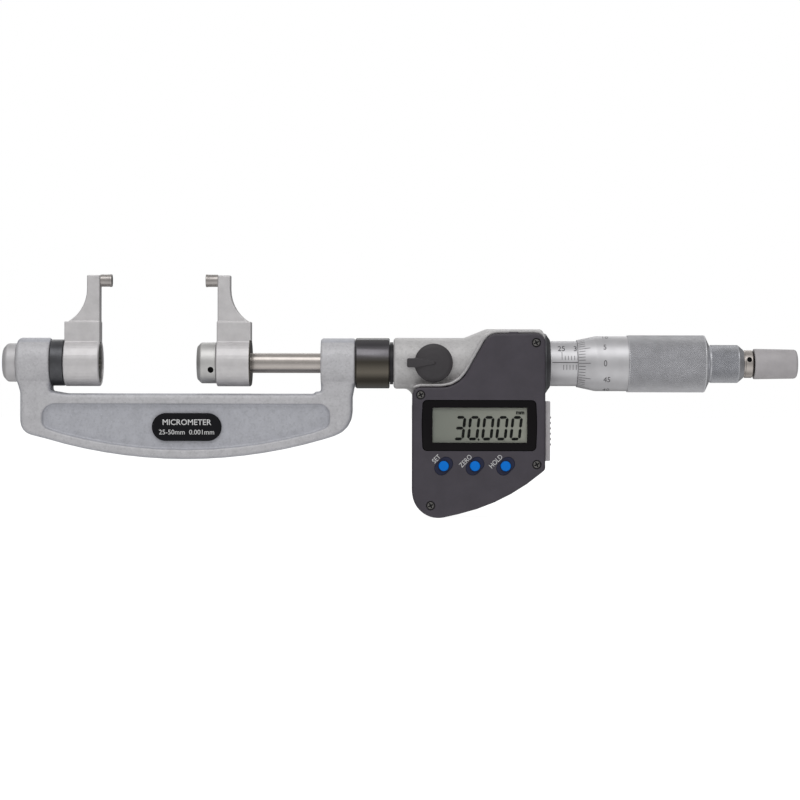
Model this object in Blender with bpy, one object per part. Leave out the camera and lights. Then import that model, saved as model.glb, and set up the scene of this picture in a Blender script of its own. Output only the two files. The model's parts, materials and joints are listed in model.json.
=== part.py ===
"""Caliper-jaw outside micrometer, 25 to 50 mm, with a display unit, set to 30 mm.

Sizes are in millimetres and become metres as each mesh is made. +X runs along the spindle towards the
ratchet, +Z is up through the jaws, and the display faces -Y. The origin is the centre of the fixed
jaw's measuring face. Shapes are drawn round the spindle's axis, which lies JAW_REACH below the origin.
"""

from math import cos, pi, radians, sin, sqrt, tan

import bmesh
import bpy
from mathutils import Matrix, Vector

MM = 0.001

# Driving dimensions
READING = 30.0  # distance between the measuring faces at rest
JAW_REACH = 26.3  # from the spindle's axis up to the measuring faces
SPINDLE_R = 3.175
TIP_R = 2.05
BOSS_R = 7.95
SLEEVE_R = 7.2
THIMBLE_R = 9.18
KNOB_R = 4.88
COVER_FRONT = -13.0  # y of the display unit's front
COVER_BACK = 9.4  # y of the display unit's back
WALL = 1.3  # thickness of the unit's covers
FIT = 0.1  # gap between pieces that touch

# Stations along the spindle
LEFT_BOSS = (-30.0, -19.3)
FIXED_HUB = (-14.95, -3.5)
MOVING_HUB = (READING + 3.6, READING + 14.7)
RIGHT_BOSS = (66.9, 77.8)
RING_NUT = (77.9, 88.85)
HEAD = (90.1, 138.0)
CLAMP_X = 102.8
LEVER_R = 6.1
SLEEVE_END = 173.1
THIMBLE = (148.6, 190.8)
GRIP_START = 164.75
SPEEDER_END = 201.9
KNOB = (205.3, 219.2)

# Display unit, x and z of its features
WINDOW_TOP = -11.7
WINDOW_BOTTOM = -27.8
GLASS_LOW = (102.4, -25.2)
GLASS_HIGH = (132.3, -14.1)
BUTTONS = {"set_button": 106.0, "zero_button": 115.85, "hold_button": 125.5}
BUTTON_Z = -32.5
BUTTON_R = 1.6
COVER_SCREWS = ((135.1, 6.4), (98.7, -10.1), (135.3, -32.0), (101.9, -45.0))
REAR_SCREWS = ((134.6, -15.0), (99.6, -43.0))
BATTERY = (111.0, -27.0)
BATTERY_R = 5.8

# The lower edge of the frame is one arc
BOW_X = 23.7
BOW_Z = 125.25
BOW_R = 156.0

FINISHES = {  # colour, metallic, roughness
    "casting": ((0.39, 0.39, 0.40), 0.25, 0.45),
    "satin_chrome": ((0.52, 0.52, 0.53), 0.9, 0.35),
    "ground_steel": ((0.58, 0.55, 0.51), 1.0, 0.2),
    "dark_steel": ((0.07, 0.065, 0.06), 0.9, 0.35),
    "black_oxide": ((0.06, 0.06, 0.063), 0.6, 0.4),
    "carbide": ((0.27, 0.25, 0.24), 1.0, 0.3),
    "brass": ((0.62, 0.42, 0.16), 1.0, 0.3),
    "unit_plastic": ((0.065, 0.063, 0.07), 0.0, 0.5),
    "pale_plastic": ((0.42, 0.42, 0.43), 0.0, 0.5),
    "bezel_black": ((0.006, 0.006, 0.006), 0.0, 0.15),
    "button_blue": ((0.0, 0.16, 0.68), 0.0, 0.4),
    "rubber": ((0.012, 0.014, 0.03), 0.0, 0.7),
    "lcd_grey": ((0.24, 0.26, 0.22), 0.0, 0.3),
    "clear": ((0.9, 0.9, 0.9), 0.0, 0.05),
    "board_green": ((0.02, 0.12, 0.05), 0.0, 0.5),
}


def clear_scene():
    for obj in list(bpy.data.objects):
        bpy.data.objects.remove(obj, do_unlink=True)


def paint(obj, finish):
    """Gives the object its own material."""
    colour, metallic, roughness = FINISHES[finish]
    material = bpy.data.materials.new(f"{obj.name}_{finish}")
    material.use_nodes = True
    shader = material.node_tree.nodes["Principled BSDF"]
    shader.inputs["Base Color"].default_value = (*colour, 1.0)
    shader.inputs["Metallic"].default_value = metallic
    shader.inputs["Roughness"].default_value = roughness
    obj.data.materials.append(material)


def to_object(name, bm, finish, place):
    """Makes the object of a bmesh in millimetres, with its origin at place, measured from the axis."""
    bmesh.ops.recalc_face_normals(bm, faces=bm.faces)
    bmesh.ops.scale(bm, vec=(MM, MM, MM), verts=bm.verts)
    mesh = bpy.data.meshes.new(name)
    bm.to_mesh(mesh)
    bm.free()
    mesh.shade_smooth()
    mesh.set_sharp_from_angle(angle=radians(32))
    obj = bpy.data.objects.new(name, mesh)
    x, y, z = place
    obj.location = Vector((x, y, z - JAW_REACH)) * MM
    bpy.context.collection.objects.link(obj)
    if finish:
        paint(obj, finish)
    return obj


def turned(name, section, finish=None, sides=32, axis="X", place=(0.0, 0.0, 0.0)):
    """Turns a section of (distance along the axis, radius) points round the X or Y axis.

    A section that starts and ends at radius 0 is solid there, and any other is a closed ring."""
    bm = bmesh.new()
    rings = []
    for along, radius in section:
        count = sides if radius > 0 else 1
        ring = []
        for i in range(count):
            angle = 2 * pi * i / sides
            across = (radius * cos(angle), radius * sin(angle))
            point = (along, *across) if axis == "X" else (across[0], along, across[1])
            ring.append(bm.verts.new(point))
        rings.append(ring)
    solid = section[0][1] == 0 and section[-1][1] == 0
    followers = rings[1:] if solid else rings[1:] + rings[:1]
    for first, second in zip(rings, followers):
        for i in range(sides):
            corners = [first[i % len(first)], first[(i + 1) % len(first)]]
            corners += [second[(i + 1) % len(second)], second[i % len(second)]]
            face = list(dict.fromkeys(corners))
            if len(face) > 2:
                bm.faces.new(face)
    return to_object(name, bm, finish, place)


def ring(name, start, end, outer, inner, finish=None, sides=32, chamfer=0.0):
    """A plain turned ring along X, with its outer edges chamfered."""
    section = [(start, inner), (start, outer - chamfer)]
    if chamfer:
        section.append((start + chamfer, outer))
        section.append((end - chamfer, outer))
    section += [(end, outer - chamfer), (end, inner)]
    return turned(name, section, finish, sides)


def offset_corners(corners, inset):
    """Moves each side of a (x, z, radius) outline inwards, and changes the corner radii to match."""
    count = len(corners)
    points = [Vector(c[:2]) for c in corners]
    area = sum(points[i - 1].cross(points[i]) for i in range(count))
    turn = 1 if area > 0 else -1
    moved = []
    for i, (_, _, radius) in enumerate(corners):
        before = (points[i] - points[i - 1]).normalized()
        after = (points[(i + 1) % count] - points[i]).normalized()
        normal_before = Vector((-before.y, before.x)) * turn
        normal_after = Vector((-after.y, after.x)) * turn
        bisector = (normal_before + normal_after).normalized()
        place = points[i] + bisector * inset / bisector.dot(normal_before)
        convex = before.cross(after) * turn > 0
        new_radius = max(radius - inset, 0.3) if convex else radius + inset
        moved.append((*place, new_radius if radius > 0 else 0.0))
    return moved


def rounded(corners, inset=0.0, step=18.0):
    """The outline of (x, z, radius) corners, each an arc with a point about every step degrees."""
    if inset:
        corners = offset_corners(corners, inset)
    outline = []
    for i, (x, z, radius) in enumerate(corners):
        corner = Vector((x, z))
        if radius == 0:
            outline.append(tuple(corner))
            continue
        before = (Vector(corners[i - 1][:2]) - corner).normalized()
        after = (Vector(corners[(i + 1) % len(corners)][:2]) - corner).normalized()
        half = before.angle(after) / 2
        centre = corner + (before + after).normalized() * radius / sin(half)
        start = corner + before * radius / tan(half) - centre
        sweep = start.angle_signed(corner + after * radius / tan(half) - centre)
        count = max(2, round(abs(sweep) / radians(step)))
        for k in range(count + 1):
            turned_start = Matrix.Rotation(-sweep * k / count, 2) @ start
            outline.append(tuple(centre + turned_start))
    return outline


def arc(centre_x, centre_z, radius, start, end, count):
    """Points on an arc, with its angles in degrees from +X."""
    points = []
    for k in range(count + 1):
        angle = radians(start + (end - start) * k / count)
        points.append((centre_x + radius * cos(angle), centre_z + radius * sin(angle)))
    return points


def plate(name, outline, front, back, finish=None, place=(0.0, 0.0, 0.0), edge=0.0):
    """An (x, z) outline extruded along Y from front to back, with its rims rounded by edge."""
    bm = bmesh.new()
    face = bm.faces.new([bm.verts.new((x, front, z)) for x, z in outline])
    extruded = bmesh.ops.extrude_face_region(bm, geom=[face])
    far_side = [v for v in extruded["geom"] if isinstance(v, bmesh.types.BMVert)]
    bmesh.ops.translate(bm, vec=(0.0, back - front, 0.0), verts=far_side)
    if edge:
        rims = [e for e in bm.edges if abs(e.verts[0].co.y - e.verts[1].co.y) < 1e-6]
        bmesh.ops.bevel(bm, geom=rims, offset=edge, segments=2, profile=0.5, affect="EDGES")
    return to_object(name, bm, finish, place)


def block(name, low, high, finish=None):
    """A box between two corners."""
    outline = [(low[0], low[2]), (high[0], low[2]), (high[0], high[2]), (low[0], high[2])]
    return plate(name, outline, low[1], high[1], finish)


def combine(target, tool, operation="DIFFERENCE"):
    """Adds or cuts another object, which is kept as a guide that isn't rendered."""
    tool.hide_render = True
    tool.display_type = "WIRE"
    modifier = target.modifiers.new(tool.name, "BOOLEAN")
    modifier.object = tool
    modifier.operation = operation
    modifier.solver = "EXACT"
    return target


def add(target, tool):
    return combine(target, tool, "UNION")


def pins(name, places, radius, front, back, sides=16):
    """One guide object that holds a short cylinder along Y at each (x, z) place."""
    bm = bmesh.new()
    for x, z in places:
        circle = arc(x, z, radius, 0, 360, sides)[:-1]
        outline = [bm.verts.new((px, front, pz)) for px, pz in circle]
        extruded = bmesh.ops.extrude_face_region(bm, geom=[bm.faces.new(outline)])
        far_side = [v for v in extruded["geom"] if isinstance(v, bmesh.types.BMVert)]
        bmesh.ops.translate(bm, vec=(0.0, back - front, 0.0), verts=far_side)
    return to_object(name, bm, None, (0.0, 0.0, 0.0))


def bow_height(x, radius=BOW_R):
    """The height of the frame's lower arc at x."""
    return BOW_Z - sqrt(radius**2 - (x - BOW_X) ** 2)


def bow_points(start, end, radius, count):
    """Corners along the lower arc, which need no rounding of their own."""
    xs = [start + (end - start) * k / count for k in range(count + 1)]
    return [(x, bow_height(x, radius), 0.0) for x in xs]


def build_frame():
    half_width = 5.0
    bar_top = -9.8
    leg_left = -28.85
    leg_right = 77.0
    boss_left = LEFT_BOSS[0] + 0.1
    boss_right = LEFT_BOSS[1] + FIT
    outline = rounded(
        [
            (boss_left, -3.0, 0.0),
            (boss_left, -5.9, 2.5),
            (leg_left, -9.6, 2.0),
            (leg_left, bow_height(leg_left) - 0.6, 4.5),
            *bow_points(-21.0, 68.0, BOW_R, 14),
            (leg_right, bow_height(leg_right) - 0.1, 8.0),
            (leg_right, -10.8, 2.0),
            (RIGHT_BOSS[1] - 0.3, -8.4, 0.8),
            (RIGHT_BOSS[1] - 0.3, -3.0, 0.0),
            (RIGHT_BOSS[0] + 0.1, -3.0, 0.0),
            (RIGHT_BOSS[0] + 0.1, -9.1, 0.4),
            (65.2, -9.1, 0.3),
            (64.9, bar_top, 0.3),
            (-14.2, bar_top, 5.0),
            (boss_right, -8.95, 0.5),
            (boss_right, -3.0, 0.0),
        ]
    )
    frame = plate("frame", outline, -half_width, half_width, "casting", edge=1.4)
    left = [(LEFT_BOSS[0], 0.0), (LEFT_BOSS[0], BOSS_R - 0.9), (LEFT_BOSS[0] + 0.9, BOSS_R)]
    left += [(LEFT_BOSS[1] - 0.4, BOSS_R), (LEFT_BOSS[1], BOSS_R - 0.4), (LEFT_BOSS[1], 0.0)]
    right = [(RIGHT_BOSS[0], 0.0), (RIGHT_BOSS[0], BOSS_R - 0.5), (RIGHT_BOSS[0] + 0.5, BOSS_R)]
    right += [(RIGHT_BOSS[1] - 0.3, BOSS_R), (RIGHT_BOSS[1], BOSS_R - 0.3), (RIGHT_BOSS[1], 0.0)]
    add(frame, turned("left_boss", left, sides=36))
    add(frame, turned("right_boss", right, sides=36))

    pocket_radius = BOW_R - 3.0
    pocket_top = -13.15
    pocket = rounded(
        [
            (-21.8, pocket_top, 4.0),
            (-21.8, bow_height(-21.8, pocket_radius) + 0.3, 2.6),
            *bow_points(-16.0, 64.0, pocket_radius, 10),
            (69.8, bow_height(69.8, pocket_radius) + 0.3, 2.6),
            (69.8, pocket_top, 3.4),
        ]
    )
    floor = half_width - 1.4
    combine(frame, plate("front_pocket", pocket, -half_width - 2, -floor))
    combine(frame, plate("back_pocket", pocket, floor, half_width + 2))
    combine(frame, turned("anvil_bore", [(-32, 0), (-32, 4.1), (-18, 4.1), (-18, 0)], sides=20))
    combine(frame, turned("neck_bore", [(66, 0), (66, 6.15), (79, 6.15), (79, 0)], sides=28))

    label_length = 22.2
    label_r = 4.45
    straight = label_length / 2 - label_r
    stadium = arc(straight, 0, label_r, -90, 90, 12) + arc(-straight, 0, label_r, 90, 270, 12)
    plate("frame_label", stadium, -floor - 0.9, -floor - 0.05, "bezel_black", place=(24.3, 0, -20.5))


def build_anvil():
    cap = [(-34.6, 0), (-34.6, 4.3), (-34.1, 5.4), (-33.0, 6.15), (-30.15, 6.15)]
    cap += [(-30.15, 3.0), (-33.6, 3.0), (-33.6, 0)]
    turned("anvil_cap", cap, "satin_chrome")
    rod = [(-33.4, 0), (-33.4, 2.85), (-29.9, 2.85), (-29.9, 4.0), (-8.5, 4.0)]
    rod += [(-8.5, 2.2), (-14.5, 2.2), (-14.5, 0)]
    turned("anvil_rod", rod, "ground_steel", sides=20)
    ring("anvil_collar", LEFT_BOSS[1] + FIT, FIXED_HUB[0] - FIT, 7.4, 4.1, "black_oxide", sides=36)
    screw = [(-13.5, 0), (-13.5, 2.1), (-4.8, 2.1), (-4.8, 6.7), (-3.9, 6.7), (-3.9, 0)]
    turned("fixed_jaw_screw", screw, "dark_steel", sides=24)


def build_jaw(name, hub, face, direction, bore):
    """A jaw whose arm has its measuring side at face, and whose body lies in that direction from it."""
    hub_r = 7.5
    block_top = 13.1
    block_half = 3.5  # half its thickness
    arm_top = JAW_REACH + TIP_R - 0.4
    arm_width = 4.1
    arm_half = 2.7
    hollow_r = 12.0  # of the curve between arm and block
    hollow_z = 23.5
    near = face + 0.1 * direction
    length = hub[1] - hub[0]
    shoulder = length - 0.35
    arm = [(0, 0), (0, arm_top), (arm_width, arm_top)]
    arm += arc(arm_width + hollow_r, hollow_z, hollow_r, 180, 240, 7)
    arm += [(shoulder, block_top - 0.3), (shoulder, 0)]
    arm_outline = [(near + u * direction, z) for u, z in arm]

    section = [(hub[0], 0), (hub[0], hub_r - 0.3), (hub[0] + 0.3, hub_r)]
    section += [(hub[1] - 0.4, hub_r), (hub[1], hub_r - 0.4), (hub[1], 0)]
    jaw = turned(name, section, "casting", sides=40)
    low = (hub[0] + 0.1, -block_half, 0.0)
    high = (hub[1] - 0.1, block_half, block_top)
    add(jaw, block(f"{name}_block", low, high))
    add(jaw, plate(f"{name}_arm", arm_outline, -arm_half, arm_half, edge=0.25))
    return combine(jaw, turned(f"{name}_bore", bore, sides=20))


def build_tip(name, start, end, face_end):
    """A round measuring pin, chamfered at its face."""
    chamfer = 0.15
    low = chamfer if face_end == "low" else 0.0
    high = chamfer if face_end == "high" else 0.0
    section = [(start, 0), (start, TIP_R - low), (start + low, TIP_R)]
    section += [(end - high, TIP_R), (end, TIP_R - high), (end, 0)]
    points = list(dict.fromkeys(section))
    turned(name, points, "carbide", sides=20, place=(0.0, 0.0, JAW_REACH))


def build_jaws():
    deep = [(-16, 0), (-16, 4.1), (-4.9, 4.1), (-4.9, 6.85), (-3, 6.85), (-3, 0)]
    build_jaw("fixed_jaw", FIXED_HUB, -3.6, -1, deep)
    build_tip("fixed_tip", -3.65, 0.0, "high")
    start, end = MOVING_HUB
    through = [(start - 1, 0), (start - 1, 3.3), (end + 1, 3.3), (end + 1, 0)]
    build_jaw("moving_jaw", MOVING_HUB, READING + 3.8, 1, through)
    build_tip("moving_tip", READING, READING + 3.85, "low")

    cap_start = start - 6.2
    cap_end = start - FIT
    cap_r = 6.55
    section = [(cap_start, 0), (cap_start, cap_r - 1.4), (cap_start + 1.4, cap_r), (cap_end, cap_r)]
    section += [(cap_end, 2.6), (cap_start + 1.8, 2.6), (cap_start + 1.8, 0)]
    cap = turned("jaw_cap", section, "satin_chrome", sides=32)
    combine(cap, pins("jaw_cap_hole", ((start - 1.6, -2.3),), 0.95, -9.0, -3.6))


def build_spindle():
    """The spindle slides and doesn't turn: a key runs in its slot."""
    start = MOVING_HUB[0] - 4.3
    shoulder = MOVING_HUB[0]
    flange = 111.7
    end = 112.6
    section = [(start, 0), (start, 2.5), (shoulder, 2.5), (shoulder, SPINDLE_R), (flange, SPINDLE_R)]
    section += [(flange, 3.8), (end, 3.8), (end, 0)]
    spindle = turned("spindle", section, "ground_steel")
    slot_bottom = -2.35
    combine(spindle, block("key_slot", (75.0, -0.75, -5.0), (104.0, 0.75, slot_bottom)))
    block("spindle_key", (95.6, -0.65, -5.7), (98.4, 0.65, slot_bottom - 0.15), "dark_steel")
    ring("guide_bush", 67.2, 95.2, 5.2, SPINDLE_R + 0.07, "brass", sides=28)
    ring("clamp_collet", 100.7, 104.9, 5.6, SPINDLE_R + 0.1, "ground_steel", sides=20)
    ball_r = 0.72
    ball = [(ball_r * -cos(radians(a)), ball_r * sin(radians(a))) for a in (0, 36, 72, 108, 144, 180)]
    ball[0] = (-ball_r, 0)
    ball[-1] = (ball_r, 0)
    turned("thrust_ball", ball, "ground_steel", sides=12, place=(113.4, 0.0, 0.0))


def build_head():
    barrel_r = 8.15
    housing_r = 11.0
    start, end = HEAD
    section = [(start, 6.1), (start, barrel_r - 0.6), (start + 0.6, barrel_r), (112.6, barrel_r)]
    section += [(119.6, housing_r), (end - 0.8, housing_r), (end, housing_r - 0.9)]
    section += [(end, 9.3), (118.6, 9.3), (118.6, 5.8), (95.4, 5.8), (95.4, 6.1)]
    body = turned("head_body", section, "casting", sides=40)

    bore = [(start - 1, 0), (start - 1, 7.0), (113.5, 7.0), (118.4, 9.9), (end + 1, 9.9), (end + 1, 0)]
    inside = turned("head_inside", bore)
    add(body, combine(plate("unit_web", rounded(cover_corners(), inset=0.25), -1.5, 1.5), inside))
    add(body, combine(cover_flange(), inside))
    fillet = [(92.6, -7.0), *arc(93.1, -11.2, 3.2, 90, 0, 5), (96.8, -12.5), (96.8, -7.0)]
    add(body, plate("web_fillet", fillet, -1.4, 1.4))
    pad = [(-8.35, 0), (-8.35, 5.2), (-5.95, 5.2), (-5.95, 0)]
    add(body, turned("clamp_pad", pad, axis="Y", place=(CLAMP_X, 0.0, 0.0)))
    combine(body, pins("clamp_hole", ((CLAMP_X, 0.0),), 2.4, -10.0, -4.0, sides=20))

    neck = [(68.5, 5.3), (68.5, 6.0), (88.95, 6.0), (88.95, 6.75), (90.0, 6.75)]
    neck += [(90.0, 6.0), (95.2, 6.0), (95.2, 5.3)]
    turned("head_neck", neck, "black_oxide", sides=28)
    ring("ring_nut", *RING_NUT, 8.05, 6.1, "dark_steel", sides=36, chamfer=0.4)
    end_ring = [(138.1, 8.25), (138.1, 9.6), (138.8, 9.6), (140.05, 7.7), (140.05, 7.3)]
    end_ring += [(139.4, 7.3), (139.4, 8.25)]
    turned("end_ring", end_ring, "black_oxide", sides=36)


def cover_flange():
    """A band of the casting round the front cover's upper edge, clear of the cover and the lever."""
    width = 1.1
    front = COVER_FRONT + 2.2
    back = -3.0
    bottom = -7.9
    top = 10.85
    flange = plate("cover_flange", rounded(cover_corners(), inset=-width), front, back)
    combine(flange, plate("flange_space", rounded(cover_corners(), inset=-FIT), front - 1, back + 1))
    combine(flange, pins("lever_space", ((CLAMP_X, 0.0),), LEVER_R + 0.35, front - 1, -8.35, sides=36))
    combine(flange, block("below_flange", (90, front - 2, -60), (145, back + 2, bottom)))
    combine(flange, block("above_flange", (90, front - 2, top), (145, back + 2, 20)))
    return combine(flange, block("beside_flange", (HEAD[1] - 0.05, front - 2, -20), (145, back + 2, 20)))


def build_clamp():
    """The clamp lever turns about Y, in front of the head."""
    front = -11.9
    dome = [(front, 0), (front + 0.1, 3.0), (front + 0.5, 5.0), (front + 1.1, LEVER_R), (-8.5, LEVER_R)]
    dome += [(-8.5, 2.2), (-5.8, 2.2), (-5.8, 0)]
    place = (CLAMP_X, 0.0, 0.0)
    lever = turned("clamp_lever", dome, "black_oxide", sides=36, axis="Y", place=place)
    tab = [(-8.4, 1.45, 0.5), (-8.4, -1.45, 0.5), (-5.0, -1.45, 0)]
    tab += [(0.5, -0.4, 0), (0.5, 0.4, 0), (-5.0, 1.45, 0)]
    add(lever, plate("clamp_tab", rounded(tab), front - 0.4, -9.2, place=place, edge=0.2))


def build_sleeves():
    inner = [(138.15, 4.4), (138.15, 8.1), (139.3, 8.1), (139.3, 6.3), (173.2, 6.3), (173.2, 5.3)]
    inner += [(175.4, 5.3), (175.4, 3.65), (158.0, 3.65), (158.0, 4.4)]
    turned("inner_sleeve", inner, "ground_steel", sides=24)
    ring("outer_sleeve", 139.6, SLEEVE_END, SLEEVE_R, 6.4, "satin_chrome", sides=44)
    taper = [(173.35, 5.4), (173.35, 6.9), (175.2, 6.9), (176.4, 6.3)]
    taper += [(176.4, 5.0), (175.6, 5.0), (175.6, 5.4)]
    turned("taper_nut", taper, "dark_steel", sides=24)


def build_screw():
    """The screw turns with the thimble and pushes the spindle through a ball."""
    screw = [(114.2, 0), (114.2, 3.0), (140.0, 3.0), (140.0, 3.5), (178.5, 3.5), (178.5, 3.0)]
    shoulder = THIMBLE[1] - FIT
    end = 203.4
    screw += [(shoulder, 3.0), (shoulder, 2.4), (end, 2.4), (end, 1.3), (199.0, 1.3), (199.0, 0)]
    turned("micrometer_screw", screw, "ground_steel", sides=20)
    nut = [(110.6, 3.35), (110.6, 4.7), (116.4, 4.7), (116.4, 3.08), (114.4, 3.08), (114.4, 4.0)]
    nut += [(111.4, 4.0), (111.4, 3.35)]
    turned("coupling_nut", nut, "dark_steel", sides=20)


def build_thimble():
    start, end = THIMBLE
    bore = 7.33
    cone_end = start + 5.4
    section = [(start, bore), (start, bore + 0.17), (cone_end, 8.6), (cone_end + 0.8, 8.75)]
    section += [(GRIP_START, 8.78), (GRIP_START + 0.1, THIMBLE_R), (end - 1.4, THIMBLE_R), (end, 6.3)]
    section += [(end, 3.08), (end - 3.8, 3.08), (end - 3.8, bore)]
    turned("thimble", section, "satin_chrome", sides=44)


def build_ratchet():
    start = THIMBLE[1] + FIT
    speeder = [(start, 2.5), (start, 6.12), (SPEEDER_END - 1.7, 6.12), (SPEEDER_END, 4.6), (SPEEDER_END, 2.5)]
    turned("speeder", speeder, "satin_chrome", sides=36)
    nut = ring("ratchet_nut", SPEEDER_END + FIT, KNOB[0] - 0.4, 4.45, 2.5, "ground_steel", sides=28)
    combine(nut, pins("ratchet_nut_hole", ((203.5, 1.35),), 0.8, -6.0, -3.3))

    start, end = KNOB
    hollow_end = start + 7.6
    knob = [(hollow_end, 0), (hollow_end, 3.9), (start, 3.9), (start, KNOB_R - 0.2)]
    knob += [(start + 0.3, KNOB_R), (end - 1.4, KNOB_R - 0.3), (end - 0.4, KNOB_R - 1.2)]
    knob += [(end, KNOB_R - 2.6), (end + 0.1, 0)]
    turned("ratchet_knob", knob, "satin_chrome", sides=36)

    teeth = 12
    outline = []
    for i in range(teeth):
        steep = 2 * pi * i / teeth
        outline.append((3.5 * cos(steep), 3.5 * sin(steep)))
        outline.append((2.8 * cos(steep + 0.12), 2.8 * sin(steep + 0.12)))
    wheel = plate("ratchet_wheel", outline, -0.8, 0.8, "dark_steel", place=(206.8, 0, 0))
    wheel.rotation_euler.z = pi / 2
    hole = turned("ratchet_wheel_hole", [(205, 0), (205, 1.35), (209, 1.35), (209, 0)], sides=16)
    combine(wheel, hole)
    screw = [(199.4, 0), (199.4, 1.15), (210.6, 1.15), (210.6, 2.6), (212.0, 2.6), (212.0, 0)]
    turned("ratchet_screw", screw, "dark_steel", sides=16)
    build_spring("ratchet_spring", 208.0, 210.3, 2.2, 0.28, 2.5)


def build_spring(name, start, end, radius, wire, turns):
    """A helical spring along X, as a bevelled curve."""
    points_a_turn = 10
    curve = bpy.data.curves.new(name, "CURVE")
    curve.dimensions = "3D"
    curve.bevel_depth = wire * MM
    curve.bevel_resolution = 0
    curve.use_fill_caps = True
    count = int(turns * points_a_turn) + 1
    spline = curve.splines.new("POLY")
    spline.points.add(count - 1)
    for i, point in enumerate(spline.points):
        share = i / (count - 1)
        angle = 2 * pi * turns * share
        x = start + wire + (end - start - 2 * wire) * share
        point.co = (x * MM, radius * cos(angle) * MM, radius * sin(angle) * MM, 1.0)
    obj = bpy.data.objects.new(name, curve)
    obj.location = (0.0, 0.0, -JAW_REACH * MM)
    bpy.context.collection.objects.link(obj)
    paint(obj, "ground_steel")


def build_encoder():
    ring("encoder_stator", 129.6, 130.6, 9.1, 4.95, "board_green", sides=24)
    rotor = [(131.0, 4.95), (131.0, 8.8), (131.9, 8.8), (131.9, 6.2), (138.0, 6.2)]
    rotor += [(138.0, 3.75), (136.7, 3.75), (136.7, 4.95)]
    turned("encoder_rotor", rotor, "brass", sides=24)


def cover_corners():
    """The display unit's outline as (x, z, corner radius): a box, swept up to the encoder housing."""
    return [
        (96.05, -7.75, 2.6),
        (96.05, -51.0, 8.3),
        (125.4, -44.35, 61.0),
        (138.0, -33.6, 1.5),
        (138.0, 9.4, 3.2),
        (120.2, 9.2, 4.6),
        (110.7, -7.75, 9.5),
    ]


def rear_corners():
    """The rear cover stops below the encoder housing."""
    top = -11.6
    return [
        (96.05, top, 2.0),
        (96.05, -51.0, 8.3),
        (125.4, -44.35, 61.0),
        (138.0, -33.6, 1.5),
        (138.0, top, 2.0),
    ]


def head_clearance(name):
    """A guide shaped like the head, a little larger all round."""
    section = [(88, 0), (88, 8.3), (112.5, 8.3), (119.5, 11.15), (140, 11.15), (140, 0)]
    return turned(name, section, sides=40)


def window_corners():
    middle = (WINDOW_TOP + WINDOW_BOTTOM) / 2
    return [
        (99.3, WINDOW_TOP, 1.5),
        (98.95, middle, 60.0),
        (99.3, WINDOW_BOTTOM, 1.5),
        (135.1, WINDOW_BOTTOM, 1.5),
        (135.45, middle, 60.0),
        (135.1, WINDOW_TOP, 1.5),
    ]


def build_front_cover():
    back = -2.4
    inside = COVER_FRONT + WALL
    cover = plate("front_cover", rounded(cover_corners()), COVER_FRONT, back, "unit_plastic", edge=0.6)
    combine(cover, plate("front_space", rounded(cover_corners(), inset=WALL), inside, back + 2))
    add(cover, pins("front_posts", COVER_SCREWS[1:], 1.9, inside - 0.4, back, sides=14))
    combine(cover, head_clearance("front_head_space"))
    combine(cover, plate("window_hole", rounded(window_corners()), COVER_FRONT - 2, inside + 1))
    combine(cover, pins("screw_recesses", COVER_SCREWS, 1.5, COVER_FRONT - 2, COVER_FRONT + 0.9))
    combine(cover, pins("screw_holes", COVER_SCREWS, 0.85, COVER_FRONT - 2, back + 2, sides=12))
    for name, x in BUTTONS.items():
        dimple_r = 2.3
        reach = 0.5
        ends = arc(reach, 0, dimple_r, -90, 90, 8) + arc(-reach, 0, dimple_r, 90, 270, 8)
        tilted = [((px - pz) / sqrt(2), (px + pz) / sqrt(2)) for px, pz in ends]
        place = (x, 0.0, BUTTON_Z)
        dimple = plate(f"{name}_dimple", tilted, COVER_FRONT - 2, COVER_FRONT + 0.4, place=place)
        combine(cover, dimple)
    holes = [(x, BUTTON_Z) for x in BUTTONS.values()]
    combine(cover, pins("button_holes", holes, 2.15, COVER_FRONT - 2, inside + 1, sides=20))
    combine(cover, block("connector_hole", (136, -8.4, -24.7), (140, -4.2, -18.3)))

    gasket = plate("cover_gasket", rounded(cover_corners(), inset=0.2), back + FIT, -1.6, "rubber")
    combine(gasket, plate("gasket_space", rounded(cover_corners(), inset=WALL), back - 1, 0.0))
    combine(gasket, head_clearance("gasket_head_space"))


def build_cover_screws():
    """Screws whose heads sit in the front cover's recesses, and two at the back."""
    for i, (x, z) in enumerate(COVER_SCREWS, start=1):
        head = COVER_FRONT + 0.3
        tail = -11.3 if i == 1 else -5.0
        build_cover_screw(f"cover_screw_{i}", x, z, head, tail, 1)
    for i, (x, z) in enumerate(REAR_SCREWS, start=1):
        build_cover_screw(f"rear_screw_{i}", x, z, COVER_BACK - 0.3, 3.0, -1)


def build_cover_screw(name, x, z, head, tail, inward):
    """A slotted screw along Y, from its head's face to its tail."""
    head_r = 1.3
    shank_r = 0.75
    under = head + 0.5 * inward
    section = [(head, 0), (head, head_r), (under, head_r), (under, shank_r), (tail, shank_r), (tail, 0)]
    screw = turned(name, section, "black_oxide", sides=14, axis="Y", place=(x, 0, z))
    slot_ends = sorted((head - 1.0 * inward, head + 0.3 * inward))
    low = (x - 0.9, slot_ends[0], z - 0.14)
    high = (x + 0.9, slot_ends[1], z + 0.14)
    combine(screw, block(f"{name}_slot", low, high))


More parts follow.
